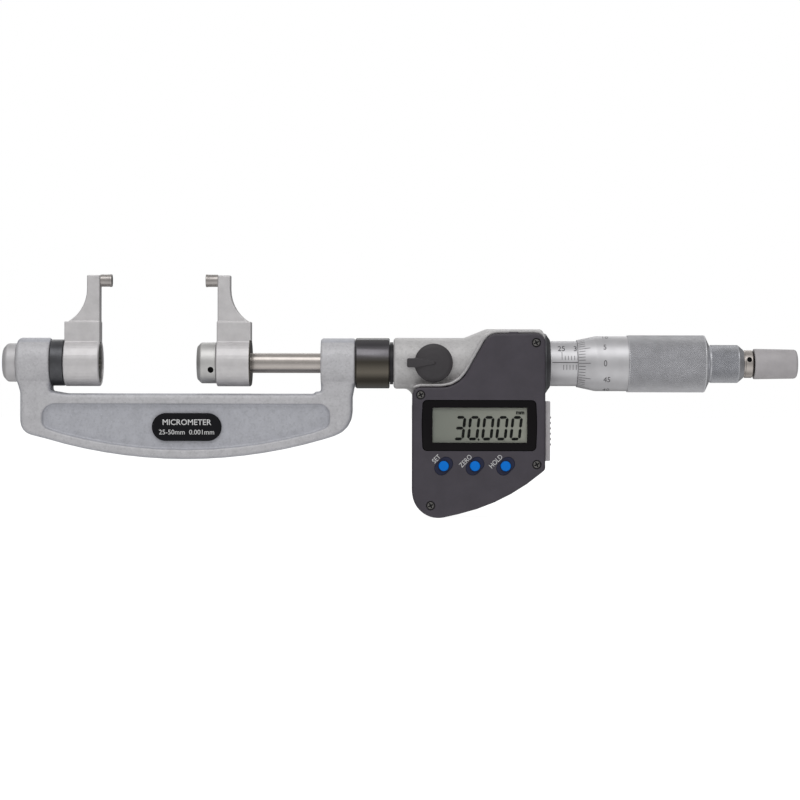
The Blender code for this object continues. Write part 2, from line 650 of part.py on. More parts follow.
def build_display():
    front = COVER_FRONT + 0.4
    bezel = plate("lcd_bezel", rounded(window_corners(), inset=FIT), front, front + 1.2, "bezel_black")
    low = (GLASS_LOW[0], COVER_FRONT - 2, GLASS_LOW[1])
    high = (GLASS_HIGH[0], front + 3, GLASS_HIGH[1])
    combine(bezel, block("lcd_opening", low, high))
    gap = 0.05
    low = (GLASS_LOW[0] + gap, front + 0.1, GLASS_LOW[1] + gap)
    high = (GLASS_HIGH[0] - gap, front + 0.5, GLASS_HIGH[1] - gap)
    block("lcd_window", low, high, "clear")
    block("lcd_module", (100.2, front + 1.3, -26.8), (134.2, front + 3.3, -12.9), "lcd_grey")
    block("circuit_board", (99.4, -8.6, -35.2), (133.2, -7.6, -12.6), "board_green")
    block("data_connector", (128.5, -7.5, -24.5), (137.7, -4.6, -18.5), "bezel_black")


def build_buttons():
    """Each button slides along Y in a rubber boot."""
    for name, x in BUTTONS.items():
        place = (x, 0.0, BUTTON_Z)
        front = COVER_FRONT - 0.9
        inside = COVER_FRONT + WALL
        section = [(front, 0), (front, BUTTON_R - 0.25), (front + 0.2, BUTTON_R)]
        section += [(inside + 0.15, BUTTON_R), (inside + 0.15, 2.1), (inside + 0.7, 2.1)]
        section += [(inside + 0.7, 0.8), (-9.5, 0.8), (-9.5, 0)]
        turned(name, section, "button_blue", sides=20, axis="Y", place=place)
        rim = COVER_FRONT - 0.05
        boot = [(rim, 1.7), (rim, 2.08), (inside - 0.1, 2.08), (inside - 0.1, 1.7)]
        turned(name.replace("button", "boot"), boot, "rubber", sides=20, axis="Y", place=place)


def build_port_cover():
    """A ribbed strip on the unit's right side, over the data connector."""
    inner = 138.1
    outer = inner + 1.5
    rib = outer + 0.35
    pitch = 1.7
    outline = [(inner, -30.9), (outer, -30.9)]
    for k in range(6):
        z = -26.2 + k * pitch
        outline += [(outer, z - 0.45), (rib, z - 0.25), (rib, z + 0.25), (outer, z + 0.45)]
    outline += [(outer, -12.0), (inner, -12.0)]
    plate("port_cover", outline, -11.2, -2.9, "pale_plastic")


def build_rear():
    front = 1.6
    inside = COVER_BACK - WALL
    lid_r = 7.0
    cover = plate("rear_cover", rounded(rear_corners()), front, COVER_BACK, "unit_plastic", edge=0.6)
    combine(cover, plate("rear_space", rounded(rear_corners(), inset=WALL), front - 2, inside))
    add(cover, pins("rear_posts", REAR_SCREWS, 1.9, front, inside + 0.4, sides=14))
    combine(cover, pins("lid_hole", (BATTERY,), lid_r + FIT, front + 2, COVER_BACK + 2, sides=32))
    combine(cover, pins("rear_recesses", REAR_SCREWS, 1.5, COVER_BACK - 0.9, COVER_BACK + 2))
    combine(cover, pins("rear_holes", REAR_SCREWS, 0.85, front - 2, COVER_BACK + 2, sides=12))

    place = (BATTERY[0], 0.0, BATTERY[1])
    outer = COVER_BACK + 0.1
    section = [(outer, 0), (outer, lid_r - 0.6), (outer - 0.4, lid_r - 0.05)]
    section += [(outer - 1.2, lid_r - 0.05), (outer - 1.2, 0)]
    lid = turned("battery_lid", section, "unit_plastic", sides=32, axis="Y", place=place)
    x, z = BATTERY
    combine(lid, block("coin_slot", (x - 4.5, outer - 0.7, z - 0.8), (x + 4.5, outer + 1, z + 0.8)))
    cell = [(2.6, 0), (2.6, BATTERY_R - 0.8), (3.4, BATTERY_R), (8.0, BATTERY_R), (8.0, 0)]
    turned("battery", cell, "ground_steel", sides=24, axis="Y", place=place)
    block("battery_contact", (x - 2.0, 1.7, z - 8.5), (x + 2.0, 2.3, z + 4.0), "brass")


def main():
    clear_scene()
    build_frame()
    build_anvil()
    build_jaws()
    build_spindle()
    build_head()
    build_clamp()
    build_sleeves()
    build_screw()
    build_thimble()
    build_ratchet()
    build_encoder()
    build_front_cover()
    build_cover_screws()
    build_display()
    build_buttons()
    build_port_cover()
    build_rear()


main()
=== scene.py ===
"""Looks of the caliper-jaw outside micrometer: fine shapes, scales, display, materials, light and camera.

Sizes are in millimetres and become metres as each mesh is made. Shapes are drawn round the spindle's axis:
x runs along it, y away from the display's viewer, and z up through the jaws.
"""

import json
from math import ceil, cos, pi, radians, sin, sqrt, tan

import bmesh
import bpy
from mathutils import Matrix, Vector

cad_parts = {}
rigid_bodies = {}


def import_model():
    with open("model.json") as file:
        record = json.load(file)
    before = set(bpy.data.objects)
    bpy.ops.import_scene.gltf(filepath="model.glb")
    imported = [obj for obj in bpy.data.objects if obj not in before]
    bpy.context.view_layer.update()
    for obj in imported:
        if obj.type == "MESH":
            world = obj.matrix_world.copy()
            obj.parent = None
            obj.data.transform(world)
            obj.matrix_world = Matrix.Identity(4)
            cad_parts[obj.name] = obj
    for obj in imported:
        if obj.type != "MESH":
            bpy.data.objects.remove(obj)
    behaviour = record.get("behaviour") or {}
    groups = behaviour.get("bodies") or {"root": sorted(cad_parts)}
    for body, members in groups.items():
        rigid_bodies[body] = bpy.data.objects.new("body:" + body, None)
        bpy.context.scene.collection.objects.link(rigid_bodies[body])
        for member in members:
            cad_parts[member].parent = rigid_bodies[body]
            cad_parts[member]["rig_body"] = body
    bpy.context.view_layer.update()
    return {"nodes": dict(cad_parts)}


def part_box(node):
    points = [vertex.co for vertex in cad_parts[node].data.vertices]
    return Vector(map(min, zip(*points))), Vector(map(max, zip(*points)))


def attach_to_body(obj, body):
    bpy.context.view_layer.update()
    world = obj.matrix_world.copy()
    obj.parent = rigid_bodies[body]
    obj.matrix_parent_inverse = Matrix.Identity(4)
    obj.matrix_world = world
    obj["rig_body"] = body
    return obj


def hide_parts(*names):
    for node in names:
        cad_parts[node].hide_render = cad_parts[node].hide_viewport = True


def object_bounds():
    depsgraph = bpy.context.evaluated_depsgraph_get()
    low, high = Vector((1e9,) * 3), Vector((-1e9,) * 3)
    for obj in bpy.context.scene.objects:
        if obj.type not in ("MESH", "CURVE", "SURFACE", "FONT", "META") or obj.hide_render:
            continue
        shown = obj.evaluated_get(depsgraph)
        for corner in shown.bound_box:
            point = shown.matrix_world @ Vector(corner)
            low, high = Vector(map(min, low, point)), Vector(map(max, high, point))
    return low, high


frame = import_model()
NODES = frame["nodes"]
MM = 0.001


def extent(node):
    """The lowest and highest corner of a CAD node in millimetres, with z measured from the spindle's axis."""
    low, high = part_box(node)
    axis = Vector((0.0, 0.0, AXIS_Z))
    return (low - axis) / MM, (high - axis) / MM


def round_extent(node):
    """Where a turned CAD node starts and ends along the spindle, and its radius, in millimetres."""
    low, high = extent(node)
    return low.x, high.x, (high.y - low.y) / 2


sleeve_low, sleeve_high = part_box("outer_sleeve")
thimble_low, thimble_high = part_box("thimble")
AXIS_Z = (sleeve_low.z + sleeve_high.z) / 2
JAW_REACH = -AXIS_Z / MM  # from the axis up to the measuring faces
SLEEVE_R = (sleeve_high.z - sleeve_low.z) / 2 / MM
THIMBLE_R = (thimble_high.z - thimble_low.z) / 2 / MM

SLEEVE_ZERO = 25.0  # the reading at which the sleeve's scale starts
READING = 30.0
PITCH = 0.5  # of the screw, and travel for one turn of the thimble
INK_WIDTH = 0.17  # of a graduation line
THIMBLE_EDGE = thimble_low.x / MM
CONE_R = 7.5  # of the thimble's cone at its edge
CONE_LENGTH = 5.9
PLAIN_R = 8.78  # of the thimble between its cone and its knurl
KNURL_PITCH = 0.74
SIDES = 96  # of a round piece
WALL = 1.3  # thickness of the display unit's covers


# ---- materials


def feed(target, value):
    """Links a socket to another node's output, or gives it a number, vector or colour."""
    if isinstance(value, bpy.types.NodeSocket):
        target.id_data.links.new(value, target)
    else:
        target.default_value = (*value, 1.0) if target.type == "RGBA" else value


def new_material(name, colour, metallic=0.0, roughness=0.5, **sockets):
    """A Principled material, its node tree and its shader node."""
    material = bpy.data.materials.new(name)
    material.use_nodes = True
    tree = material.node_tree
    shader = tree.nodes["Principled BSDF"]
    sockets |= {"Base Color": colour, "Metallic": metallic, "Roughness": roughness}
    for socket, value in sockets.items():
        feed(shader.inputs[socket.replace("_", " ")], value)
    return material, tree, shader


def node(tree, kind, **settings):
    """A new node of a material's or the world's tree, with its inputs fed and its options set."""
    made = tree.nodes.new(f"ShaderNode{kind}")
    for key, value in settings.items():
        if key in made.inputs:
            feed(made.inputs[key], value)
        else:
            setattr(made, key, value)
    return made


def split_axes(space):
    return node(space.id_data, "SeparateXYZ", Vector=space).outputs


def magnitude(source):
    return node(source.id_data, "Math", operation="ABSOLUTE", Value=source).outputs[0]


def millimetre_space(tree, stretch=(1.0, 1.0, 1.0)):
    """Object coordinates in millimetres, optionally stretched."""
    place = node(tree, "TexCoord").outputs["Object"]
    return node(tree, "Mapping", Vector=place, Scale=[s / MM for s in stretch]).outputs["Vector"]


def noise(space, scale, detail=3.0, rough=0.5):
    made = node(space.id_data, "TexNoise", Vector=space, Scale=scale, Detail=detail, Roughness=rough)
    return made.outputs["Fac"]


def ramp(source, stops):
    """Maps a value to the colours at the given stops."""
    made = node(source.id_data, "ValToRGB", Fac=source)
    elements = made.color_ramp.elements
    while len(elements) < len(stops):
        elements.new(0.5)
    for element, (position, colour) in zip(elements, stops):
        element.position = position
        element.color = (*colour, 1.0)
    return made.outputs["Color"]


def level(source, low, high, start=0.0, end=1.0):
    """Maps a value from start..end to low..high."""
    limits = {"Value": source, "From Min": start, "From Max": end, "To Min": low, "To Max": high}
    return node(source.id_data, "MapRange", **limits).outputs["Result"]


def mix_colour(tree, share, first, second, blend="MIX"):
    made = node(tree, "Mix", data_type="RGBA", blend_type=blend)
    for index, value in ((0, share), (6, first), (7, second)):
        feed(made.inputs[index], value)
    return made.outputs[2]


def bump(shader, height, depth, strength=1.0):
    """Gives the shader a bump of the given depth in millimetres."""
    made = node(shader.id_data, "Bump", Strength=strength, Distance=depth * MM, Height=height)
    feed(shader.inputs["Normal"], made.outputs["Normal"])


def vary_roughness(shader, source, low, high):
    """Lets the roughness run from low to high with the source."""
    feed(shader.inputs["Roughness"], level(source, low, high))


def finish(material, shader, colour, fine, roughness, depth, strength=0.5):
    """Sets the colour, and lets the roughness run over its range and the surface rise with a fine pattern."""
    feed(shader.inputs["Base Color"], colour)
    vary_roughness(shader, fine, *roughness)
    bump(shader, fine, depth, strength)
    return material


def shades(colour, vary_down, vary_up):
    """A darker and a paler tone of a colour."""
    return [c * (1 - vary_down) for c in colour], [min(1.0, c * (1 + vary_up)) for c in colour]


def cloudy(source, colour, vary_down, vary_up):
    """A tone that runs from a darker to a paler shade of a colour with the source."""
    dark, pale = shades(colour, vary_down, vary_up)
    return ramp(source, [(0.3, dark), (0.7, pale)])


def casting_paint(name, tint, recess=None):
    """Pale hammertone paint: cloudy grey with soft darker spots and a few pale flecks.

    recess is the range of depths, front or back, over which it turns darker and bluer further in."""
    material, tree, shader = new_material(name, tint, 0.15, 0.42)
    space = millimetre_space(tree)
    dark, pale = shades(tint, 0.09, 0.08)
    broad = noise(space, 0.35, 5.0, 0.65)
    clouds = ramp(broad, [(0.28, dark), (0.5, tint), (0.72, pale)])
    spots = level(noise(space, 1.3, 3.0, 0.5), 0.0, 0.32, 0.50, 0.68)
    spotted = mix_colour(tree, spots, clouds, [c * 0.62 for c in tint])
    flecks = level(noise(space, 2.2, 2.0, 0.4), 0.0, 0.4, 0.62, 0.74)
    toned = mix_colour(tree, flecks, spotted, [c * 1.45 for c in tint])
    if recess:
        deep = level(magnitude(split_axes(space)["Y"]), 0.0, 1.0, *recess)
        toned = mix_colour(tree, deep, toned, (0.86, 0.88, 0.92), "MULTIPLY")
    feed(shader.inputs["Base Color"], toned)
    vary_roughness(shader, noise(space, 0.9, 3.0), 0.36, 0.54)
    bump(shader, noise(space, 1.0, 3.0, 0.55), 0.10, 0.3)
    return material


def satin_metal(name, colour, roughness, lines=14.0, depth=0.006):
    """Turned metal, with fine tool lines round the X axis and a faint cloudy tone."""
    material, tree, shader = new_material(name, colour, 1.0, roughness)
    fine = noise(millimetre_space(tree, (1.0, 0.04, 0.04)), lines, 2.0, 0.6)
    vary = 0.06
    toned = cloudy(noise(millimetre_space(tree), 0.25, 3.0), colour, vary, vary)
    lined = mix_colour(tree, level(fine, 0.0, 0.25), toned, shades(colour, vary, vary)[0])
    return finish(material, shader, lined, fine, (roughness - 0.05, roughness + 0.07), depth)


def blasted_metal(name, colour, roughness, metallic=1.0, grain=7.0, depth=0.012):
    """Bead-blasted or fine satin metal without direction."""
    material, tree, shader = new_material(name, colour, metallic, roughness)
    space = millimetre_space(tree)
    fine = noise(space, grain, 2.0, 0.6)
    toned = cloudy(noise(space, 0.3, 4.0, 0.6), colour, 0.08, 0.06)
    return finish(material, shader, toned, fine, (roughness - 0.04, roughness + 0.06), depth, 0.6)


def dark_metal(name, colour, roughness, lines=0.0):
    """Blued or blackened steel, lighter where handling has worn it."""
    material, tree, shader = new_material(name, colour, 0.85, roughness)
    stretch = (1.0, 0.05, 0.05) if lines else (1.0, 1.0, 1.0)
    fine = noise(millimetre_space(tree, stretch), lines or 6.0, 3.0, 0.6)
    broad = noise(millimetre_space(tree), 0.5, 4.0, 0.6)
    pale = shades(colour, 0.0, 0.5)[1]
    worn = mix_colour(tree, level(broad, 0.0, 0.6, 0.45, 0.7), colour, pale)
    lined = mix_colour(tree, level(fine, 0.0, 0.4), worn, colour)
    return finish(material, shader, lined, fine, (roughness - 0.06, roughness + 0.1), 0.008)


def tempered_metal(name, upper, lower, roughness):
    """Heat-blackened steel with painted reflections by height: a bluish band above its middle, a brown one
    below, and dark between.
    """
    material, tree, shader = new_material(name, upper, 0.9, roughness)
    # painted reflections: the lamps' reflections stand as colour bands by height, darker towards the top and
    # bottom
    height = level(split_axes(millimetre_space(tree))["Z"], 0.0, 1.0, -8.0, 8.0)
    fine = noise(millimetre_space(tree, (1.0, 0.05, 0.05)), 7.0, 3.0, 0.6)
    bands = [(0.0, lower, 0.45), (0.2, lower, 0.5), (0.3, lower, 1.0), (0.4, lower, 0.9), (0.52, lower, 0.58)]
    bands += [(0.66, upper, 1.0), (0.82, upper, 1.0), (0.92, upper, 0.55), (1.0, upper, 0.45)]
    toned = ramp(height, [(place, [c * share for c in colour]) for place, colour, share in bands])
    worn = mix_colour(tree, level(fine, 0.0, 0.3), toned, [c * 0.5 for c in lower])
    return finish(material, shader, worn, fine, (roughness - 0.06, roughness + 0.06), 0.006)


def moulded_plastic(name, colour, roughness, grain=5.0, depth=0.012, vary=0.1, specular=0.4):
    """Moulded plastic with a fine spark-eroded texture."""
    material, tree, shader = new_material(name, colour, 0.0, roughness, Specular_IOR_Level=specular)
    space = millimetre_space(tree)
    fine = noise(space, grain, 3.0, 0.6)
    toned = cloudy(noise(space, 0.15, 4.0, 0.6), colour, vary, vary)
    return finish(material, shader, toned, fine, (roughness - 0.05, roughness + 0.08), depth)


def display_glass():
    """The reflective panel behind the digits: grey-green, with painted light that makes it paler towards its
    right end.
    """
    colour = (0.25, 0.27, 0.235)
    material, tree, shader = new_material("display_panel", colour, 0.0, 0.28, Specular_IOR_Level=0.2)
    # painted light: the panel grows paler towards its right end
    across = level(split_axes(millimetre_space(tree))["X"], 0.0, 1.0, 102.0, 133.0)
    tone = ramp(across, [(0.0, (0.26, 0.275, 0.24)), (1.0, (0.375, 0.385, 0.33))])
    feed(shader.inputs["Base Color"], tone)
    vary_roughness(shader, noise(millimetre_space(tree), 12.0, 1.0), 0.25, 0.33)
    return material


def plain_ink(name, colour, roughness=0.5, specular=0.3):
    """Paint in an engraved mark, or print, with a slightly uneven tone."""
    material, tree, shader = new_material(name, colour, 0.0, roughness, Specular_IOR_Level=specular)
    feed(shader.inputs["Base Color"], cloudy(noise(millimetre_space(tree), 6.0, 2.0), colour, 0.2, 0.0))
    return material


FRAME_PAINT = casting_paint("frame_hammertone", (0.555, 0.55, 0.57), recess=(4.9, 4.2))
HEAD_PAINT = casting_paint("head_hammertone", (0.56, 0.55, 0.55))
JAW_FINISH = blasted_metal("satin_jaw", (0.655, 0.64, 0.645), 0.5, metallic=0.7)
SATIN_CHROME = satin_metal("satin_chrome", (0.575, 0.57, 0.585), 0.45)
KNURL_CHROME = blasted_metal("knurled_chrome", (0.60, 0.60, 0.62), 0.42, depth=0.004)
SPEEDER_CHROME = blasted_metal("speeder_chrome", (0.51, 0.515, 0.54), 0.42, depth=0.004)
CAP_GREY = blasted_metal("satin_cap", (0.56, 0.55, 0.56), 0.5, metallic=0.5)
CAP_PLATE = blasted_metal("nickel_cap", (0.585, 0.58, 0.57), 0.47)
KNOB_FINISH = blasted_metal("ratchet_knob_finish", (0.475, 0.455, 0.465), 0.6, 0.35, 5.0, 0.03)
GROUND_STEEL = satin_metal("ground_steel", (0.455, 0.42, 0.395), 0.24, lines=20.0, depth=0.001)
CARBIDE_GROUND = satin_metal("ground_carbide", (0.40, 0.375, 0.36), 0.3, lines=9.0, depth=0.01)
# blued steel, also used as painted shade on the moving jaw's hub end
BLUED_STEEL_AND_SHADE = dark_metal("blued_steel_and_painted_shade", (0.125, 0.117, 0.105), 0.2, lines=7.0)
# the ring nut's dark steel, with its reflections painted in as bands
REFLECTION_BANDED_STEEL = tempered_metal("steel_with_painted_reflections", (0.125, 0.12, 0.132), (0.125, 0.112, 0.092), 0.2)
BLACK_OXIDE = dark_metal("black_oxide", (0.080, 0.081, 0.087), 0.33)
NECK_BLACK = dark_metal("neck_black", (0.032, 0.031, 0.033), 0.4)
SCREW_GREY = dark_metal("screw_grey", (0.15, 0.145, 0.14), 0.4)
LEVER_BLACK = moulded_plastic("lever_black", (0.046, 0.042, 0.046), 0.5, grain=4.0, depth=0.02)
COVER_GREY = moulded_plastic("cover_grey", (0.057, 0.050, 0.063), 0.46)
PORT_GREY = moulded_plastic("port_grey", (0.48, 0.46, 0.475), 0.5)
GLOSS_BLACK = moulded_plastic("gloss_black", (0.005, 0.004, 0.005), 0.12, depth=0.0, specular=0.12)
# the range label's black, also used as painted shade inside holes and screw recesses
LABEL_BLACK_AND_SHADE = moulded_plastic("label_black", (0.006, 0.006, 0.008), 0.22, depth=0.002, specular=0.15)
BUTTON_BLUE = moulded_plastic("button_blue", (0.0, 0.18, 0.70), 0.4, 3.0, 0.006, 0.05, 0.15)
NAVY_RUBBER = moulded_plastic("navy_rubber", (0.010, 0.013, 0.042), 0.6, grain=4.0, depth=0.02)
GASKET_RUBBER = moulded_plastic("gasket_rubber", (0.012, 0.012, 0.012), 0.7)
BRASS = satin_metal("turned_brass", (0.62, 0.42, 0.17), 0.28)
BOARD_GREEN = moulded_plastic("board_green", (0.015, 0.10, 0.045), 0.4, grain=2.0)
DISPLAY = display_glass()
DIGIT_INK = plain_ink("digit_ink", (0.010, 0.011, 0.010), 0.6, specular=0.05)
SCALE_INK = plain_ink("scale_ink", (0.09, 0.087, 0.095))
PALE_INK = plain_ink("pale_ink", (0.72, 0.72, 0.72))
LENS = new_material("clear_lens", (0.02, 0.02, 0.02), 0.0, 0.06, Alpha=0.05)[0]


# ---- shapes


def add_object(name, data):
    obj = bpy.data.objects.new(name, data)
    bpy.context.scene.collection.objects.link(obj)
    return obj


def to_object(name, bm, material, place=(0.0, 0.0, 0.0), sharp=32.0):
    """Makes an object of a bmesh in millimetres, with its origin at place."""
    bmesh.ops.recalc_face_normals(bm, faces=bm.faces)
    bmesh.ops.scale(bm, vec=(MM, MM, MM), verts=bm.verts)
    mesh = bpy.data.meshes.new(name)
    bm.to_mesh(mesh)
    bm.free()
    mesh.shade_smooth()
    mesh.set_sharp_from_angle(angle=radians(sharp))
    obj = add_object(name, mesh)
    x, y, z = place
    obj.location = Vector((x, y, z - JAW_REACH)) * MM
    if material:
        mesh.materials.append(material)
    return obj


def arc(centre_x, centre_z, radius, start, end, count):
    points = []
    for k in range(count + 1):
        angle = radians(start + (end - start) * k / count)
        points.append((centre_x + radius * cos(angle), centre_z + radius * sin(angle)))
    return points


def offset_corners(corners, inset):
    """Moves each side of a (x, z, radius) outline inwards, and changes the corner radii to match."""
    count = len(corners)
    points = [Vector(c[:2]) for c in corners]
    area = sum(points[i - 1].cross(points[i]) for i in range(count))
    turn = 1 if area > 0 else -1
    moved = []
    for i, (_, _, radius) in enumerate(corners):
        before = (points[i] - points[i - 1]).normalized()
        after = (points[(i + 1) % count] - points[i]).normalized()
        normal_before = Vector((-before.y, before.x)) * turn
        normal_after = Vector((-after.y, after.x)) * turn
        bisector = (normal_before + normal_after).normalized()
        place = points[i] + bisector * inset / bisector.dot(normal_before)
        convex = before.cross(after) * turn > 0
        new_radius = max(radius - inset, 0.3) if convex else radius + inset
        moved.append((*place, new_radius if radius > 0 else 0.0))
    return moved


def rounded(corners, inset=0.0, step=6.0):
    """The outline of (x, z, radius) corners, each rounded by an arc."""
    if inset:
        corners = offset_corners(corners, inset)
    outline = []
    for i, (x, z, radius) in enumerate(corners):
        corner = Vector((x, z))
        if radius == 0:
            outline.append(tuple(corner))
            continue
        before = (Vector(corners[i - 1][:2]) - corner).normalized()
        after = (Vector(corners[(i + 1) % len(corners)][:2]) - corner).normalized()
        half = before.angle(after) / 2
        centre = corner + (before + after).normalized() * radius / sin(half)
        start = corner + before * radius / tan(half) - centre
        sweep = start.angle_signed(corner + after * radius / tan(half) - centre)
        count = max(3, round(abs(sweep) / radians(step)))
        for k in range(count + 1):
            outline.append(tuple(centre + Matrix.Rotation(-sweep * k / count, 2) @ start))
    return outline


def turned(name, corners, material, sides=SIDES, axis="X", place=(0.0, 0.0, 0.0)):
    """Turns (along, radius, rounding) corners round the X or Y axis. Ends at radius 0 close the shape."""
    section = rounded(corners, step=22.5)
    bm = bmesh.new()
    rings = []
    for along, radius in section:
        count = sides if radius > 0 else 1
        ring = []
        for i in range(count):
            angle = 2 * pi * i / sides
            across = (radius * cos(angle), radius * sin(angle))
            point = (along, *across) if axis == "X" else (across[0], along, across[1])
            ring.append(bm.verts.new(point))
        rings.append(ring)
    solid = section[0][1] == 0 and section[-1][1] == 0
    for first, second in zip(rings, rings[1:] if solid else rings[1:] + rings[:1]):
        bridge(bm, first, second, sides)
    return to_object(name, bm, material, place)


def bridge(bm, first, second, sides):
    """Joins two rings with faces. Either may be a single point."""
    for i in range(sides):
        corners = [first[i % len(first)], first[(i + 1) % len(first)]]
        corners += [second[(i + 1) % len(second)], second[i % len(second)]]
        face = list(dict.fromkeys(corners))
        if len(face) > 2:
            bm.faces.new(face)


def extrude(bm, outline, front, back):
    """Adds an (x, z) outline extruded along Y."""
    face = bm.faces.new([bm.verts.new((x, front, z)) for x, z in outline])
    extruded = bmesh.ops.extrude_face_region(bm, geom=[face])
    far_side = [v for v in extruded["geom"] if isinstance(v, bmesh.types.BMVert)]
    bmesh.ops.translate(bm, vec=(0.0, back - front, 0.0), verts=far_side)


def plate(name, outline, front, back, material, place=(0.0, 0.0, 0.0), edge=0.0, segments=4):
    """A piece with an (x, z) outline and its rims rounded by edge."""
    bm = bmesh.new()
    extrude(bm, outline, front, back)
    if edge:
        rims = [e for e in bm.edges if abs(e.verts[0].co.y - e.verts[1].co.y) < 1e-6]
        bmesh.ops.bevel(bm, geom=rims, offset=edge, segments=segments, profile=0.5, affect="EDGES")
    return to_object(name, bm, material, place)


def pins(name, places, radius, front, back, sides=40):
    """One object that holds a short cylinder along Y at each (x, z) place."""
    bm = bmesh.new()
    for x, z in places:
        extrude(bm, arc(x, z, radius, 0, 360, sides)[:-1], front, back)
    return to_object(name, bm, None)


def settle(obj, sharp=32.0):
    """Applies the object's modifiers, and removes the guides that they used."""
    bpy.context.view_layer.update()
    graph = bpy.context.evaluated_depsgraph_get()
    guides = [m.object for m in obj.modifiers if m.type == "BOOLEAN"]
    mesh = bpy.data.meshes.new_from_object(obj.evaluated_get(graph))
    mesh.name = obj.name
    obj.modifiers.clear()
    obj.data = mesh
    mesh.shade_smooth()
    mesh.set_sharp_from_angle(angle=radians(sharp))
    for guide in guides:
        bpy.data.objects.remove(guide)
    return obj


def combine(target, tool, operation="DIFFERENCE"):
    modifier = target.modifiers.new(tool.name, "BOOLEAN")
    modifier.object = tool
    modifier.operation = operation
    modifier.solver = "EXACT"
    return target


def finish_faces(obj, polygons, material):
    """Gives some of an object's faces another material."""
    obj.data.materials.append(material)
    for polygon in polygons:
        polygon.material_index = len(obj.data.materials) - 1


def cut(target, outline, front, back, place=(0.0, 0.0, 0.0)):
    """Cuts an (x, z) outline out of a piece, from front to back."""
    combine(target, plate("cut", outline, front, back, None, place))


def blacken_hole(obj, x, z, radius):
    """Paints shade inside a drilled hole along Y, in near-black."""
    middle = Vector((x, z - obj.location.z / MM - JAW_REACH)) * MM
    inside = []
    for polygon in obj.data.polygons:
        corners = [obj.data.vertices[i].co for i in polygon.vertices]
        if all(v.y < 0 and (Vector((v.x, v.z)) - middle).length < radius * MM for v in corners):
            inside.append(polygon)
    finish_faces(obj, inside, LABEL_BLACK_AND_SHADE)


def drill(obj, hole, radius, front, cad_node):
    """Drills a spanner hole along Y at an (x, z) place, and puts the piece in its CAD node's place."""
    combine(obj, pins("hole", (hole,), radius, front, -2.6))
    put(settle(obj), cad_node)
    # painted shade inside the hole
    blacken_hole(obj, *hole, radius + 0.01)


def blacken_recess(obj, y, outward):
    """Paints shade, in near-black, on what lies deeper than y and faces outwards, the floor of a recess along
    Y.
    """
    deeper = [p for p in obj.data.polygons if p.center.y * outward < y * MM * outward]
    finish_faces(obj, [p for p in deeper if p.normal.y * outward > 0.9], LABEL_BLACK_AND_SHADE)


def blacken_end(obj, x, z):
    """Paints shade on the end of a softened hub, right of x and below z, in the blued steel's dark colour."""
    limit = Vector((x, 0.0, z - JAW_REACH)) * MM - obj.location
    right = [p for p in obj.data.polygons if p.center.x > limit.x]
    finish_faces(obj, [p for p in right if p.center.z < limit.z], BLUED_STEEL_AND_SHADE)


def soften(name, cad_node, material, voxel, passes):
    """A copy of a CAD node with every edge and inner corner rounded, as on a painted casting."""
    mesh = NODES[cad_node].data.copy()
    mesh.name = name
    mesh.materials.clear()
    obj = add_object(name, mesh)
    weld = obj.modifiers.new("weld", "WELD")
    weld.merge_threshold = 1e-6
    remesh = obj.modifiers.new("remesh", "REMESH")
    remesh.mode = "VOXEL"
    remesh.voxel_size = voxel * MM
    smooth = obj.modifiers.new("smooth", "SMOOTH")
    smooth.factor = 0.5
    smooth.iterations = passes
    settle(obj, sharp=180.0)
    obj.data.materials.append(material)
    return put(obj, cad_node)


def put(obj, cad_node):
    """The piece stands for a CAD node, and rides with that node's body."""
    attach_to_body(obj, NODES[cad_node]["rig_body"])
    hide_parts(cad_node)
    return obj


def attach(obj, body):
    """An extra piece that rides on a body."""
    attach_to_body(obj, body)
    return obj


# ---- marks and lettering

MARK_LIFT = 0.012  # how far a mark stands above its round surface
MARK_SINK = 0.05  # and how deep a line's slab reaches into it


def text_mesh(words, height, thickness, weight=0.0, narrow=1.0):
    """Lettering as a flat closed mesh in x and z, centred, with capitals of the given height."""
    half_depth = 0.05  # at size 1
    capital = 0.69  # height of a capital in the font, at size 1
    curve = bpy.data.curves.new("words", "FONT")
    curve.body = words
    curve.size = 1.0
    curve.extrude = half_depth
    curve.offset = weight
    curve.resolution_u = 3
    curve.align_x = "CENTER"
    curve.align_y = "CENTER"
    helper = add_object("words", curve)
    bpy.context.view_layer.update()
    graph = bpy.context.evaluated_depsgraph_get()
    mesh = bpy.data.meshes.new_from_object(helper.evaluated_get(graph))
    bpy.data.objects.remove(helper)
    bm = bmesh.new()
    bm.from_mesh(mesh)
    bpy.data.meshes.remove(mesh)
    bmesh.ops.remove_doubles(bm, verts=bm.verts, dist=1e-5)
    middle = (max(v.co.y for v in bm.verts) + min(v.co.y for v in bm.verts)) / 2
    for v in bm.verts:
        x, z, depth = v.co.x, v.co.y - middle, v.co.z
        v.co = (x * height / capital * narrow, -depth / half_depth * thickness / 2, z * height / capital)
    return bm


def wrap(bm, along, angle, radius_of):
    """Bends a flat mesh onto a round surface: x runs along it, z round it, and -y out of it.

    radius_of(x) is the surface's radius, and angle is measured from the front, upwards, in radians."""
    reach = max(abs(v.co.z) for v in bm.verts)
    slice_height = 0.25
    count = ceil(reach / slice_height)
    for k in range(-count, count + 1):
        geometry = bm.verts[:] + bm.edges[:] + bm.faces[:]
        place = (0, 0, k * slice_height)
        bmesh.ops.bisect_plane(bm, geom=geometry, plane_co=place, plane_no=(0, 0, 1), dist=1e-6)
    for v in bm.verts:
        radius = radius_of(along + v.co.x)
        turn = angle + v.co.z / radius
        out = radius + MARK_LIFT - v.co.y
        v.co = (along + v.co.x, -out * cos(turn), out * sin(turn))
    return bm


